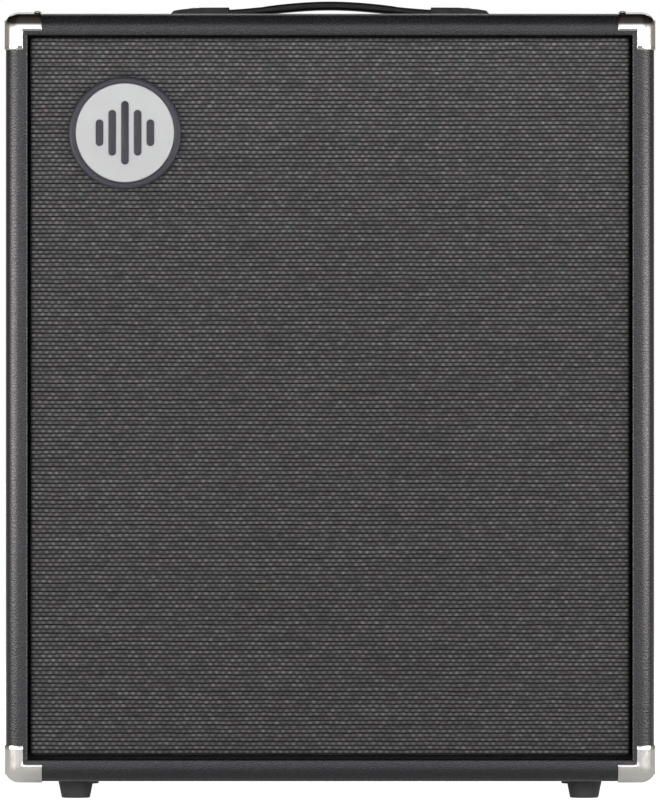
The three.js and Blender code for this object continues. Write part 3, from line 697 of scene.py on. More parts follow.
def make_grip():
    """The moulded sleeve round the middle of the strap, tapering to nothing at its ends."""
    steps = 52
    rings = []
    for i in range(steps + 1):
        x = -GRIP_REACH + 2 * GRIP_REACH * i / steps
        swell = max(0.0, 1 - (abs(x) / GRIP_REACH) ** 8)
        half_width = STRAP_HALF_WIDTH + 0.12 + 0.5 * swell
        rings.append(strap_ring(x, half_width, STRAP_HALF_THICK + 0.12 + 0.43 * swell, 1.9))
    piece("handle_grip_sleeve", skin(rings, caps=True), "handle_rubber", "handle", "handle_grip")


def make_caps():
    outline = [
        (CAP_MOUTH, 0.1), (CAP_END, 0.1), (CAP_END, 6.4), (CAP_END - 2.4, 8.9), (CAP_END - 9, 10.0),
        (CAP_END - 24, 11.3), (CAP_MOUTH, 11.4),
    ]
    for side, sign in SIDES:
        bm = prism([(sign * x, TOP + z) for x, z in outline], (-CAP_HALF_WIDTH, CAP_HALF_WIDTH))
        x_low, x_high = sorted((sign * (CAP_MOUTH - 5), sign * (STRAP_END + 0.5)))
        pocket = block((x_low, -13.4, TOP + 3.8), (x_high, 13.4, TOP + 10.1))
        name = f"handle_cap_{side}"
        cap = piece(f"{name}_moulding", bm, "black_plastic", replaces=name, tool=pocket)
        soften(cap, 0.9, 3, 40)
        spot = (sign * (CAP_END - 17), 0, TOP + 10.7)
        screw(f"handle_screw_{side}", spot, (sign * 0.07, 0, 1), 3.6, rise=1.1)


make_strap()
make_grip()
make_caps()

# ---------------------------------------------------------------- the grille

CLOTH = 0.8
CLOTH_EDGE_RADIUS = 3.0
CLOTH_PITCH = 4.0  # of its mesh
CLOTH_HALF_BOX = 60  # half the depth of the box that the cloth's edges are rolled over
CLOTH_WRAP_END = 15.9  # from the grille frame's front to the end of the wrap


def full_lines(half, radius, pitch):
    """Grid lines across a face from -half to half, close together at its rounded edges."""
    near = edge_steps(radius)
    flat = half - radius
    count = max(2, round(2 * flat / pitch))
    middle = [-flat + 2 * flat * i / count for i in range(1, count)]
    return [-half + d for d in near] + middle + [half - d for d in reversed(near)]


def roll_over(point, halves, radius):
    """Moves a point on a sharp box to the same box with rounded edges."""
    core = Vector([max(radius - h, min(h - radius, p)) for p, h in zip(point, halves)])
    away = Vector(point) - core
    return core + away.normalized() * radius


def make_grille_cloth():
    """One sheet, stretched over the frame's front and turned round its edges."""
    low, high = cad("grille_cloth")
    front = low[1]
    wrap = cad("grille_frame")[0][1] + CLOTH_WRAP_END - front
    half_x, half_z = high[0], (high[2] - low[2]) / 2
    face = -CLOTH_HALF_BOX
    middle = Vector((0, front - face, (high[2] + low[2]) / 2))
    halves = (half_x, CLOTH_HALF_BOX, half_z)
    xs = full_lines(half_x, CLOTH_EDGE_RADIUS, CLOTH_PITCH)
    zs = full_lines(half_z, CLOTH_EDGE_RADIUS, CLOTH_PITCH)
    ys = [face + d for d in edge_steps(CLOTH_EDGE_RADIUS)] + [face + wrap * t for t in (0.45, 0.75, 1)]
    bm = bmesh.new()

    def grid(us, vs, place):
        made = [
            [bm.verts.new(middle + roll_over(place(u, v), halves, CLOTH_EDGE_RADIUS)) for v in vs]
            for u in us
        ]
        for a, b in zip(made, made[1:]):
            for i in range(len(vs) - 1):
                bm.faces.new((a[i], b[i], b[i + 1], a[i + 1]))

    grid(xs, zs, lambda u, v: (u, face, v))
    for sign in (-1, 1):
        grid(ys, zs, lambda u, v: (sign * half_x, u, v))
        grid(xs, ys, lambda u, v: (u, v, sign * half_z))
    bmesh.ops.remove_doubles(bm, verts=bm.verts, dist=0.005)
    bmesh.ops.recalc_face_normals(bm, faces=bm.faces)
    foremost = max(bm.faces, key=lambda f: -f.calc_center_median().y)
    if foremost.normal.y > 0:
        bmesh.ops.reverse_faces(bm, faces=bm.faces)
    cloth = piece("grille_cloth_weave", bm, "grille_cloth", "grille", "grille_cloth")
    solid = cloth.modifiers.new("cloth", "SOLIDIFY")
    solid.thickness = CLOTH * MM
    solid.offset = -1


BADGE_RADIUS = 43.5
DISC_RADIUS = 38.2
BAR_PITCH = 9.8
BAR_HALF_WIDTH = 2.9
TALLEST_BAR = 24.5  # half of it
BAR_SHARES = (0.42, 0.72, 1.0, 0.72, 0.42)


def make_badge():
    low, high = cad("badge_bezel")
    x, z = middle_of("badge_bezel")
    back, front = high[1], low[1]
    ring = [
        (0, back), (43.2, back), (BADGE_RADIUS, back - 0.4), (BADGE_RADIUS, front + 1.6),
        (42.6, front + 0.4), (41.2, front), (39.6, front), (38.7, front + 0.4), (38.5, front + 1.1),
        (38.5, front + 2.2), (0, front + 2.2),
    ]
    lathe_piece("badge_bezel_ring", ring, "badge_ring", (x, 0, z), "grille", "badge_bezel", 128)
    face = front + 1.0
    disc = [
        (0, face), (DISC_RADIUS - 0.6, face), (DISC_RADIUS, face + 0.5), (DISC_RADIUS, front + 2.0),
        (0, front + 2.0),
    ]
    lathe_piece("badge_disc_plate", disc, "badge_disc", (x, 0, z), "grille", "badge_disc", 128)
    for i, share in enumerate(BAR_SHARES):
        bar_x = x + (i - 2) * BAR_PITCH
        loop = rounded_rectangle(BAR_HALF_WIDTH, TALLEST_BAR * share, 2.88, steps=8)
        rings = [[(bar_x + a, y, z + b) for a, b in loop] for y in (face + 0.1, face - 0.5)]
        rings.append([(bar_x + a * 0.9, face - 0.75, z + b * 0.985) for a, b in loop])
        piece(f"badge_bar_{i + 1}", skin(rings, caps=True), "badge_ring", "grille")


make_grille_cloth()
make_badge()

# ---------------------------------------------------------------- loudspeakers behind the grille

# Profiles here are lists of (radius, depth from the baffle's face).
BAFFLE_FACE = cad("baffle_board")[0][1]
WOOFER_Z = middle_of("woofer_cone")[1]
TREBLE_Z = middle_of("horn_flare")[1]
CONE_EDGE, CONE_NECK = (163.7, -2.6), (33.6, 62)
CONE_PAPER = 1.2
CONE_STEPS = 40
RIB_HEIGHT, RIB_PITCH, RIB_FIRST, RIB_LAST = 0.45, 22, 62, 150
DUST_CAP_RADIUS, DUST_CAP_RISE = 45, 15
SURROUND_MIDDLE, SURROUND_ROLL, SURROUND_LIP, SURROUND_THICK = 172, 8, -3.1, 0.8
SPIDER_DEPTH, SPIDER_WAVE, SPIDER_PITCH, SPIDER_THICK = 84.25, 1.75, 18, 0.8
BOLT_CIRCLE = 188.8


def round_points(count, radius, offset=0.0):
    """Points in X and Z, evenly round a circle."""
    angles = [TAU * (i + offset) / count for i in range(count)]
    return [(radius * math.cos(a), radius * math.sin(a)) for a in angles]


def cone_depth(radius):
    share = (CONE_EDGE[0] - radius) / (CONE_EDGE[0] - CONE_NECK[0])
    return CONE_EDGE[1] + (CONE_NECK[1] - CONE_EDGE[1]) * (0.8 * share + 0.2 * share * share)


def flexing_ring(node, profile, slot, at):
    """A ring made of sectors, each its own piece, which together sweep the profile round the circle."""
    count, steps = 24, 4
    for i in range(count):
        rings = []
        for j in range(steps + 1):
            angle = TAU * (i + j / steps) / count
            across, up = math.cos(angle), math.sin(angle)
            rings.append([(at[0] + r * across, at[1] + y, at[2] + r * up) for r, y in profile])
        replaced = None if i else node
        sector = piece(f"{node}_sector_{i + 1}", skin(rings, caps=True), slot, None, replaced)
        angle = TAU * (i + 0.5) / count
        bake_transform(sector)


def make_cone(at):
    radii = [CONE_EDGE[0] + (CONE_NECK[0] - CONE_EDGE[0]) * i / CONE_STEPS for i in range(CONE_STEPS + 1)]

    def rib(radius):
        """Height of the shallow ribs pressed into the paper."""
        if not RIB_FIRST < radius < RIB_LAST:
            return 0
        return RIB_HEIGHT * max(0, math.cos(TAU * (radius - 60) / RIB_PITCH)) ** 6

    front = [(r, cone_depth(r) - rib(r)) for r in radii]
    back = [(r, cone_depth(r) + CONE_PAPER) for r in reversed(radii)]
    lathe_piece("woofer_cone_paper", front + back, "cone_paper", at, "cone_assembly", "woofer_cone", 120)

    rim = cone_depth(DUST_CAP_RADIUS) - 0.6
    shares = [i / 14 for i in range(15)]
    dome = [(DUST_CAP_RADIUS * s, rim - DUST_CAP_RISE * (1 - s * s)) for s in shares]
    inside = [(max(0, r - 1), y + 1) for r, y in reversed(dome[:-1])]
    lathe_piece(
        "woofer_dust_cap_dome", dome + inside, "cone_paper", at, "cone_assembly", "woofer_dust_cap",
    )


def make_suspension(at):
    def roll(radius, angles):
        return [
            (SURROUND_MIDDLE + radius * math.cos(a), SURROUND_LIP - radius * math.sin(a)) for a in angles
        ]

    lip, below = SURROUND_LIP, SURROUND_LIP - SURROUND_THICK
    turns = [math.pi * i / 20 for i in range(21)]
    surround = [(184, lip), (184, below), (180.6, below)]
    surround += roll(SURROUND_ROLL, turns[2:-2])
    surround += [(163.4, below), (158, below), (158, lip)]
    surround += roll(SURROUND_ROLL - SURROUND_THICK, turns[::-1])
    flexing_ring("woofer_surround", surround, "surround_rubber", at)

    sheet = [(34.5, 84), (37, 84.6)]
    sheet += [(40 + i, SPIDER_DEPTH + SPIDER_WAVE * math.cos(TAU * i / SPIDER_PITCH)) for i in range(37)]
    sheet.append((82, 86))
    spider = sheet + [(r, y - SPIDER_THICK) for r, y in reversed(sheet)]
    flexing_ring("woofer_spider", spider, "spider_cloth", at)


def make_basket(at):
    pressing = [
        (176, -2.8), (192.3, -2.8), (193.5, -1.8), (193.5, -0.3), (176.6, -0.3), (171, 32), (101, 98),
        (40, 98), (40, 95.5), (75, 95.5), (75, 87), (83, 87), (83, 95.5), (99.5, 95.5), (168.5, 30.5),
        (174, -0.3), (174.6, -2.2),
    ]
    windows = [
        moved(
            block((-37, 41, 107), (37, 87, 177)),
            Matrix.Translation(Vector(at)) @ Matrix.Rotation(TAU * (i + 0.5) / 6, 4, "Y"),
        )
        for i in range(6)
    ]
    piece(
        "woofer_basket_pressing", turned(pressing, at, sides=120), "pressed_steel",
        replaces="woofer_basket", tool=joined(windows),
    )
    gasket = [(184.6, -2.9), (193, -2.9), (193, -5.6), (192, -6.1), (185.6, -6.1), (184.6, -5.6)]
    lathe_piece("woofer_gasket", gasket, "surround_rubber", at)
    for i, (x, z) in enumerate(round_points(8, BOLT_CIRCLE, 0.5)):
        spot = (x, BAFFLE_FACE - 6.0, WOOFER_Z + z)
        screw(f"woofer_screw_{i + 1}", spot, (0, -1, 0), 4.0, "zinc_steel", rise=2.0, turn=i)


HORN_MOUTH = (86, 43)  # half sizes
HORN_THROAT = 12.5
HORN_FRONT, HORN_LENGTH = -2.2, 74.2
HORN_WALL = 3
HORN_STEPS = 24
HORN_SCREWS = ((-93, -50), (93, -50), (-93, 50), (93, 50), (0, -51.5), (0, 51.5))


def make_horn():
    """A flared horn: rounded rectangles that shrink to the round throat."""
    def section(half_x, half_z, radius, y):
        loop = rounded_rectangle(half_x, half_z, radius, steps=8)
        return [(a, BAFFLE_FACE + y, TREBLE_Z + b) for a, b in loop]

    def flare(step, grow):
        """The horn's section from its mouth, at step 0, to its throat."""
        share = step / HORN_STEPS
        shrink = (1 - share) ** 1.7
        half_x, half_z = (HORN_THROAT + (half - HORN_THROAT) * shrink + grow for half in HORN_MOUTH)
        corner = min(half_z, 10 + (HORN_THROAT - 10) * share + 22 * share * (1 - share)) * 0.999
        return section(half_x, half_z, max(corner, HORN_THROAT * share), HORN_FRONT + HORN_LENGTH * share)

    mouth_x, mouth_z = HORN_MOUTH
    rings = [flare(i, 0) for i in range(HORN_STEPS + 1)]
    rings += [section(HORN_THROAT, HORN_THROAT, HORN_THROAT, 90)]
    rings += [section(20, 20, 19.9, 90), section(20, 20, 19.9, 70)]
    rings += [flare(i, HORN_WALL) for i in range(HORN_STEPS - 3, 0, -1)]
    rings += [
        section(mouth_x + 3, mouth_z + 3, 12, -0.3), section(99.6, 55.6, 6, -0.3),
        section(100, 56, 6, -0.7), section(100, 56, 6, -2.4), section(99, 55, 5.4, -3.3),
        section(mouth_x + 2.4, mouth_z + 2.4, 12, -3.3), section(mouth_x + 0.7, mouth_z + 0.7, 11, -3.0),
    ]
    bm = skin(rings, closed_along=True)
    piece("horn_flare_moulding", bm, "black_plastic", replaces="horn_flare")
    for i, (x, z) in enumerate(HORN_SCREWS):
        spot = (x, BAFFLE_FACE - 3.2, TREBLE_Z + z)
        screw(f"horn_screw_{i + 1}", spot, (0, -1, 0), 3.2, rise=1.6, turn=i * 0.7)


PORT_BORE, PORT_LENGTH = 38, 120


def make_ports():
    mouth = [(PORT_BORE + 4 - 4 * math.sin(a), 1.0 - 4.3 * math.cos(a)) for a in quarter(8)]
    tube = [
        (48.8, -3.3), (50, -2.2), (50, -0.3), (41, -0.3), (41, PORT_LENGTH), (PORT_BORE, PORT_LENGTH),
    ] + mouth[::-1]
    for side in ("left", "right"):
        node = f"port_tube_{side}"
        x = middle_of(node)[0]
        lathe_piece(f"{node}_flared", tube, "black_plastic", (x, BAFFLE_FACE, TREBLE_Z), replaces=node)
        for i, (a, b) in enumerate(round_points(3, 46, 0.75)):
            spot = (x + a, BAFFLE_FACE - 3.2, TREBLE_Z + b)
            screw(f"port_screw_{side}_{i + 1}", spot, (0, -1, 0), 2.4, rise=1.2, turn=i)


WOOFER = (0, BAFFLE_FACE, WOOFER_Z)

make_cone(WOOFER)
make_suspension(WOOFER)
make_basket(WOOFER)
make_horn()
make_ports()

# ---------------------------------------------------------------- the amplifier's rear panel

PLATE = cad("amp_plate")
PLATE_FACE = PLATE[1][1]
AMP_Z = middle_of("amp_plate")[1]
PANEL_FACE = cad("back_panel")[1][1]
BEHIND = (0, 1, 0)


def plate_block(x, z, half_x, half_z, low, high, bevel=0.0, segments=2, bm=None):
    """A block on the plate. low and high are heights over the plate's face."""
    corners = [(x + s * half_x, PLATE_FACE + y, z + s * half_z) for s, y in ((-1, low), (1, high))]
    return block(*corners, bevel, segments, bm)


def plate_rings(x, z, *loops):
    """A closed ring on the plate, from loops of points with their heights over its face."""
    rings = [[(x + a, PLATE_FACE + height, z + b) for a, b in loop] for loop, height in loops]
    return skin(rings, closed_along=True)


def make_panel_screws():
    xs = (-222, -111, 0, 111, 222)
    zs = (46, 148, 250, 362, 474, 574)
    spots = [(x, z) for x in (xs[0], xs[-1]) for z in zs]
    spots += [(x, z) for x in xs[1:-1] for z in (zs[0], zs[-1])]
    cup = [(3.2, 0.1), (7.0, 0.1), (7.2, 0.5), (6.2, 1.2), (4.2, 1.5), (3.2, 1.4)]
    for i, (x, z) in enumerate(spots):
        lathe_piece(f"panel_washer_{i + 1}", cup, "nickel", (x, PANEL_FACE, z), sides=40)
        screw(f"panel_screw_{i + 1}", (x, PANEL_FACE + 1.0, z), BEHIND, 3.9, rise=1.5, turn=i * 0.9)
    half_x, half_z = 149, 74
    spots = [(x, s * half_z) for x in (-half_x, -50, 50, half_x) for s in (-1, 1)]
    spots += [(-half_x, 0), (half_x, 0)]
    for i, (x, z) in enumerate(spots):
        spot = (x, PLATE_FACE, AMP_Z + z)
        screw(f"plate_screw_{i + 1}", spot, BEHIND, 3.0, "black_plastic", rise=1.6, turn=i)


KNOB_FLUTES = 18
FLUTE_DEPTH = 0.05  # as a share of the radius
DIAL_TICKS = 11
TICK_STEP = 30  # degrees
FIRST_TICK = 60


def make_level_knob():
    x, z = middle_of("level_knob")
    profile = [
        (0, 9.5), (3.3, 9.5), (3.3, 1.0), (11, 1.0), (11, 3.6), (9.4, 5.0), (8.8, 13.0), (6.6, 13.8),
        (5.6, 13.2), (0, 13.2),
    ]
    knob = turned(rounded(profile, 0.5, 3), sides=108)
    for v in knob.verts:
        if 5.4 < v.co.y < 12.9 and math.hypot(v.co.x, v.co.z) > 7:
            flute = max(0.0, math.cos(KNOB_FLUTES * math.atan2(v.co.z, v.co.x))) ** 2
            v.co.x *= 1 - FLUTE_DEPTH * flute
            v.co.z *= 1 - FLUTE_DEPTH * flute
    moved(knob, Matrix.Translation((x, PLATE_FACE, z)))
    piece("level_knob_fluted", knob, "black_plastic", "level_dial", "level_knob")
    pointer = plate_block(x, z + 4.5, 0.55, 2.7, 13.0, 13.9, 0.2)
    plate_block(x, z + 9.225, 0.55, 0.325, 3.0, 13.2, 0.2, bm=pointer)
    piece("level_pointer", pointer, "black_plastic", "level_dial", material="print")
    for i in range(DIAL_TICKS):
        # Seen from behind, the dial turns clockwise, so its low end is on the viewer's left.
        angle = math.radians(FIRST_TICK - TICK_STEP * i)
        turn = Matrix.Translation((x, PLATE_FACE, z)) @ Matrix.Rotation(angle, 4, "Y")
        tick = moved(block((12.6, -0.02, -0.3), (15.4 if i % 5 == 0 else 14.4, 0.06, 0.3)), turn)
        piece(f"level_tick_{i + 1}", tick, "powder_coat", smooth=False, material="print")


def make_lift_button():
    x, z = middle_of("ground_lift_button")
    low, high = cad("ground_lift_button")
    shoulder = high[1] - 10
    button = block((x - 4, shoulder - 0.5, z - 4), (x + 4, high[1], z + 4), 0.7, 3)
    block((x - 2, low[1], z - 2), (x + 2, shoulder, z + 2), 0.2, bm=button)
    piece("ground_lift_cap", button, "black_plastic", "lift_button", "ground_lift_button")
    outer, inner = rounded_rectangle(6.2, 6.2, 1.2), rounded_rectangle(4.35, 4.35, 0.8)
    bezel = plate_rings(x, z, (inner, 0.05), (outer, 0.05), (outer, 0.6), (inner, 1.0))
    piece("ground_lift_bezel", bezel, "black_plastic")


SWITCH_OPENING = (8.8, 12.8)  # half sizes
SWITCH_BODY = (9.5, 13.5)
SWITCH_DEPTH = 22
ROCKER_REST = 6  # degrees
ROCKER_HALF_WIDTH = 8.3
SLOPE_FROM, SLOPE_TO = (6, 2.2), (12.3, 3.5)  # each slope, in distance from the pivot and height
MARK_AT = 8.4


def make_switch_housing(x, z):
    (in_x, in_z), (out_x, out_z) = SWITCH_OPENING, SWITCH_BODY
    low, high, lip = 0.3, 2.3, 0.5
    inner, outer = rounded_rectangle(in_x, in_z, 0.8), rounded_rectangle(11, 15, 1.5)
    inner_lip = rounded_rectangle(in_x + lip, in_z + lip, 0.8 + lip)
    outer_lip = rounded_rectangle(11 - lip, 15 - lip, 1.5 - lip)
    bezel = plate_rings(
        x, z, (inner, low), (outer, low), (outer, high - lip), (outer_lip, high), (inner_lip, high),
        (inner, high - lip),
    )
    piece("power_switch_bezel", bezel, "black_plastic", replaces="power_switch_frame")
    housing = bmesh.new()
    for sign in (-1, 1):
        wall_x, wall_z = (in_x + out_x) / 2, (in_z + out_z) / 2
        plate_block(x + sign * wall_x, z, (out_x - in_x) / 2, out_z, -SWITCH_DEPTH, 0.4, bm=housing)
        plate_block(x, z + sign * wall_z, in_x, (out_z - in_z) / 2, -SWITCH_DEPTH, 0.4, bm=housing)
    plate_block(x, z, out_x, out_z, -SWITCH_DEPTH, 2 - SWITCH_DEPTH, bm=housing)
    piece("power_switch_body", housing, "black_plastic", smooth=False)


def make_rocker(x, z):
    tilt = Matrix.Translation((x, PLATE_FACE, z)) @ Matrix.Rotation(math.radians(ROCKER_REST), 4, "X")
    # The rocker's side view, level, in Z and height over the plate.
    right = [(7, -7), (12.2, -2), SLOPE_TO, SLOPE_FROM, (0, 1.7)]
    side = [(-7, -7)] + right + [(-a, b) for a, b in right[3:0:-1]]
    side = rounded(side + side[:1], 0.6, 3)[:-1]
    rings = [[(half, y, height) for height, y in side] for half in (-ROCKER_HALF_WIDTH, ROCKER_HALF_WIDTH)]
    rocker = moved(skin(rings, caps=True), tilt)
    soften(piece("power_rocker_cap", rocker, "black_plastic", "rocker", "power_rocker"), 0.35, 2, 50)

    run, rise = SLOPE_TO[0] - SLOPE_FROM[0], SLOPE_TO[1] - SLOPE_FROM[1]
    circle = [(1.55, -0.3), (2.2, -0.3), (2.2, 0.06), (1.55, 0.06)]
    marks = (
        ("power_mark_on", 1, block((-0.35, -0.3, -2.1), (0.35, 0.06, 2.1))),
        ("power_mark_off", -1, turned(circle, sides=32)),
    )
    for name, sign, mark in marks:
        height = SLOPE_FROM[1] + rise * (MARK_AT - SLOPE_FROM[0]) / run
        spot = Matrix.Translation((0, height, sign * MARK_AT))
        turn = Matrix.Rotation(-sign * math.atan(rise / run), 4, "X")
        mark = moved(mark, tilt @ spot @ turn)
        piece(name, mark, "black_plastic", "rocker", material="print")


def make_mains_inlet():
    x, z = middle_of("mains_inlet")
    cup_z, drawer_z = z + 8, z - 17
    housing = plate_block(x, z, 16.5, 29, 0.3, 2.3, 0.7, 3)
    plate_block(x, z, 14.2, 25.2, -26, 1.5, bm=housing)
    cup = [(-12, -8), (12, -8), (12, 3.5), (7.5, 8), (-7.5, 8), (-12, 3.5)]
    openings = prism([(x + a, cup_z + b) for a, b in cup], (PLATE_FACE - 18, PLATE_FACE + 6))
    plate_block(x, drawer_z, 12.5, 5, -22, 6, bm=openings)
    piece("mains_inlet_housing", housing, "black_plastic", replaces="mains_inlet", tool=openings)
    for name, a, b in (("left", -7, -2), ("right", 7, -2), ("earth", 0, 3)):
        blade = plate_block(x + a, cup_z + b, 1, 2, -19, -3, 0.35)
        piece(f"mains_blade_{name}", blade, "connector_metal")
    drawer = plate_block(x, drawer_z, 12, 4.6, 0.5, 3, 0.5, 2)
    plate_block(x, drawer_z, 10.5, 3.6, -21, 1, bm=drawer)
    for step in (-4, -2, 0, 2, 4):
        plate_block(x + step, drawer_z, 0.35, 3.2, 2.9, 3.35, bm=drawer)
    piece("fuse_drawer_front", drawer, "black_plastic", "fuse_holder", "fuse_drawer")


SOCKET_BORE = 9.6
SOCKET_FLOOR = -14
CONTACT_CIRCLE = 3.6


def make_socket(name, female):
    x, z = middle_of(name)
    at = (x, PLATE_FACE, z)
    bore = turned([(0, -4), (SOCKET_BORE, -4), (SOCKET_BORE, 6), (0, 6)], at)
    flange = plate_block(x, z, 13, 15.5, 0.3, 2.3, 0.8, 3)
    piece(f"{name}_shell", flange, "connector_metal", replaces=name, tool=bore)
    barrel = [
        (SOCKET_BORE, SOCKET_FLOOR), (11.7, SOCKET_FLOOR), (11.7, 0.4), (11.4, 0.4), (11.4, 3.8),
        (11.0, 4.3), (10.0, 4.3), (SOCKET_BORE, 3.9),
    ]
    lathe_piece(f"{name}_barrel", barrel, "connector_metal", at, sides=64)
    floor = [(0, -20), (11.6, -20), (11.6, SOCKET_FLOOR), (0, SOCKET_FLOOR)]
    lathe_piece(f"{name}_floor", floor, "black_plastic", at, sides=48)
    # One contact at the bottom and two above it.
    spots = [(x + a, PLATE_FACE, z + b) for a, b in round_points(3, CONTACT_CIRCLE, -0.75)]
    if female:
        core = [(0, -14.2), (7, -14.2), (7, 2.4), (6.4, 3.0), (0, 3.0)]
        holes = [turned([(0, -11), (1.5, -11), (1.5, 4), (0, 4)], spot, sides=24) for spot in spots]
        piece(f"{name}_insert", turned(core, at), "black_plastic", tool=joined(holes))
    else:
        pin = [(0, -14.5), (1.2, -14.5), (1.2, -0.8), (0.7, 0), (0, 0)]
        for i, spot in enumerate(spots):
            lathe_piece(f"{name}_pin_{i + 1}", pin, "connector_metal", spot, sides=24)
    for i, sign in enumerate((-1, 1)):
        spot = (x + sign * 9.6, PLATE_FACE + 2.2, z - sign * 12.1)
        screw(f"{name}_screw_{i + 1}", spot, BEHIND, 2.3, "black_plastic", rise=1.0, turn=i)


def make_latch():
    x, z = middle_of("input_socket")
    tab = plate_block(x, z + 10.6, 2.8, 0.7, -4, 4.6, 0.3)
    plate_block(x, z + 11.8, 2.8, 1.6, 2.4, 4.6, 0.6, 3, tab)
    piece("input_latch_tab", tab, "connector_metal", "latch", "input_latch")


def make_power_light(x, z):
    dome = [(0, 2.8)] + [(2.4 * math.sin(a), 0.6 + 2.2 * math.cos(a)) for a in quarter(8)[1:]]
    dome += [(2.4, -0.1), (0, -0.1)]
    at = (x, PLATE_FACE, z)
    piece("power_light", turned(dome, at, sides=32), "black_plastic", material="lens")
    bezel = [(2.45, 0.05), (3.9, 0.05), (3.7, 0.8), (2.6, 1.1)]
    lathe_piece("power_light_bezel", bezel, "connector_metal", at, sides=40)


SWITCH = middle_of("power_switch_frame")

make_panel_screws()
make_level_knob()
make_lift_button()
make_switch_housing(*SWITCH)
make_rocker(*SWITCH)
make_mains_inlet()
make_socket("input_socket", female=True)
make_socket("link_socket", female=False)
make_latch()
make_power_light(SWITCH[0], AMP_Z + 24)

# ---------------------------------------------------------------- CAD nodes that keep their shape


def dress_cad_nodes():
    slots = {s["node"]: s["material_slot"] for s in frame["record"]["subparts"]}
    for name, thing in frame["nodes"].items():
        if not thing.hide_render:
            thing.data.materials.clear()
            thing.data.materials.append(MATERIALS[slots[name]])


soften(frame["nodes"]["back_panel"], 1.2, 3)
soften(frame["nodes"]["amp_plate"], 0.4)
soften(frame["nodes"]["heatsink"], 0.4)
dress_cad_nodes()

# ---------------------------------------------------------------- floor and lights

FLOOR_GLOW = 0.25


def make_floor():
    """A pale floor. The camera itself sees it as plain white."""
    bm = bmesh.new()
    bmesh.ops.create_grid(bm, x_segments=2, y_segments=2, size=30 / MM)
    floor = new_object("floor", bm)
    m = Maker("floor", Roughness=0.9, Base_Color=(*grey(0.62), 1), Emission_Color=(1, 1, 1, 1))
    seen = m.node("ShaderNodeLightPath").outputs["Is Camera Ray"]
    m.set(m.shader.inputs["Emission Strength"], m.ramp(seen, 0.0, 1.0, FLOOR_GLOW, 1.0))
    floor.data.materials.append(m.material)


# Brightness and tint of the surroundings, by the cosine of the angle from straight behind the cabinet.
SURROUNDINGS = (
    (-1.0, 2.9, (0.97, 0.96, 1.03)),
    (-0.94, 2.1, (0.98, 0.96, 1.01)),
    (-0.80, 1.0, (0.99, 0.95, 0.95)),
    (-0.34, 1.0, (1.0, 0.93, 0.90)),
    (0.0, 0.5, (1.0, 0.92, 0.88)),
    (0.20, 0.5, (1.0, 0.90, 0.86)),
    (0.70, 0.35, (1.0, 0.92, 0.88)),
    (0.92, 0.5, (1.0, 0.95, 0.92)),
    (0.98, 1.1, (1.0, 0.98, 0.96)),
)
BRIGHTEST = 3.0
# The same, by the sine of the height: level light in full, almost none from overhead.
WHITE = (1, 1, 1)
RISE = (
    (-1.0, 0.9, WHITE),
    (0.06, 1.0, WHITE),
    (0.20, 0.54, WHITE),
    (0.31, 0.28, (1.0, 0.97, 0.95)),
    (0.41, 0.05, (1.0, 0.86, 0.76)),
    (0.95, 0.02, (1.0, 0.84, 0.72)),
)


def make_world():
    """Studio surroundings with a dark ceiling. The camera itself sees plain white."""
    world = bpy.data.worlds.new("studio")
    world.use_nodes = True
    m = Nodes(world.node_tree)
    generated = m.node("ShaderNodeTexCoord").outputs["Generated"]
    direction = m.node("ShaderNodeSeparateXYZ", {0: generated})
    y, z = direction.outputs["Y"], direction.outputs["Z"]

    def colors(value, stops, scale=1.0):
        """A colour for each value from -1 to 1. Stops are (value, brightness, tint)."""
        node = m.node("ShaderNodeValToRGB", {"Fac": m.ramp(value, -1.0, 1.0)})
        elements = node.color_ramp.elements
        while len(elements) < len(stops):
            elements.new(1.0)
        for element, (at, brightness, tint) in zip(elements, stops):
            element.position = (at + 1) / 2
            element.color = (*[brightness / scale * t for t in tint], 1)
        return node.outputs["Color"]

    level = m.math("SQRT", m.math("SUBTRACT", 1.0001, m.math("MULTIPLY", z, z)))
    turn = m.math("DIVIDE", y, level)
    walls = m.mix(1.0, colors(turn, SURROUNDINGS, BRIGHTEST), colors(z, RISE), "MULTIPLY")
    seen = m.node("ShaderNodeLightPath").outputs["Is Camera Ray"]
    background = m.tree.nodes["Background"]
    m.set(background.inputs["Color"], m.mix(seen, walls, grey(1 / BRIGHTEST)))
    background.inputs["Strength"].default_value = BRIGHTEST
    bpy.context.scene.world = world


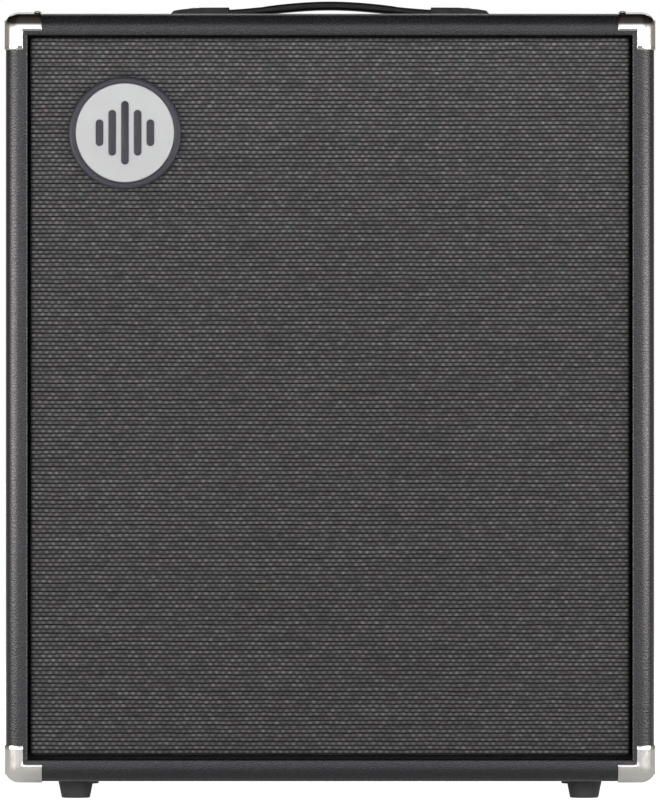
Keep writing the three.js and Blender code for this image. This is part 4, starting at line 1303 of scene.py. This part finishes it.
def area_light(name, at, towards, size, power, glossy=True, tint=WHITE):
    data = bpy.data.lights.new(name, "AREA")
    data.color = tint
    data.shape = "RECTANGLE"
    data.size, data.size_y = size
    data.energy = power
    lamp = bpy.data.objects.new(name, data)
    bpy.context.scene.collection.objects.link(lamp)
    lamp.location = at
    lamp.rotation_euler = (Vector(towards) - Vector(at)).to_track_quat("-Z", "Y").to_euler()
    lamp.visible_glossy = glossy
    lamp.visible_camera = False


# Softboxes on each side, in degrees off the front, width and brightness. They reach no higher than the
# cabinet, so that its sides catch them and its top doesn't.
SOFTBOXES = ((20, 0.45, 1.6), (34, 0.6, 6.0), (53, 0.86, 7.6), (71, 0.54, 2.2))
SOFTBOX_TINT = (1.0, 0.94, 0.92)
SOFTBOX_DISTANCE = 2.2
SOFTBOX_BOTTOM, SOFTBOX_TOP = 0.12, 0.63


def make_softboxes():
    height = SOFTBOX_TOP - SOFTBOX_BOTTOM
    middle = (SOFTBOX_TOP + SOFTBOX_BOTTOM) / 2
    for side, sign in SIDES:
        for i, (degrees, width, brightness) in enumerate(SOFTBOXES):
            turn = math.radians(degrees)
            x, y = sign * SOFTBOX_DISTANCE * math.sin(turn), -SOFTBOX_DISTANCE * math.cos(turn)
            area_light(
                f"softbox_{side}_{i + 1}", (x, y, middle), (0, 0, middle), (width, height),
                4 * width * height * brightness, tint=SOFTBOX_TINT,
            )


def make_fills():
    """Light on the cloth and the badge, and on the back. Only the one overhead shows in gloss."""
    for side, sign in SIDES:
        area_light(
            f"{side}_fill", (sign * 0.5, -0.52, 0.3), (sign * 0.24, -0.2, 0.3), (0.1, 0.9), 1.15,
            glossy=False,
        )
    area_light("top_fill", (0, -0.42, 0.78), (0, -0.2, 0.6), (0.7, 0.1), 1.2, glossy=False)
    area_light("overhead", (0, 1.8, 2.3), (0, 0, 0.6), (3.0, 1.3), 14)
    area_light("rear_left", (-1.6, 2.6, 1.8), (0, 0.2, 0.3), (1.2, 1.2), 60, glossy=False)
    area_light("rear_right", (2.0, 2.2, 1.4), (0, 0.2, 0.3), (1.2, 1.2), 35, glossy=False)


make_floor()
make_world()
make_softboxes()
make_fills()
bpy.context.scene.view_settings.view_transform = "Standard"
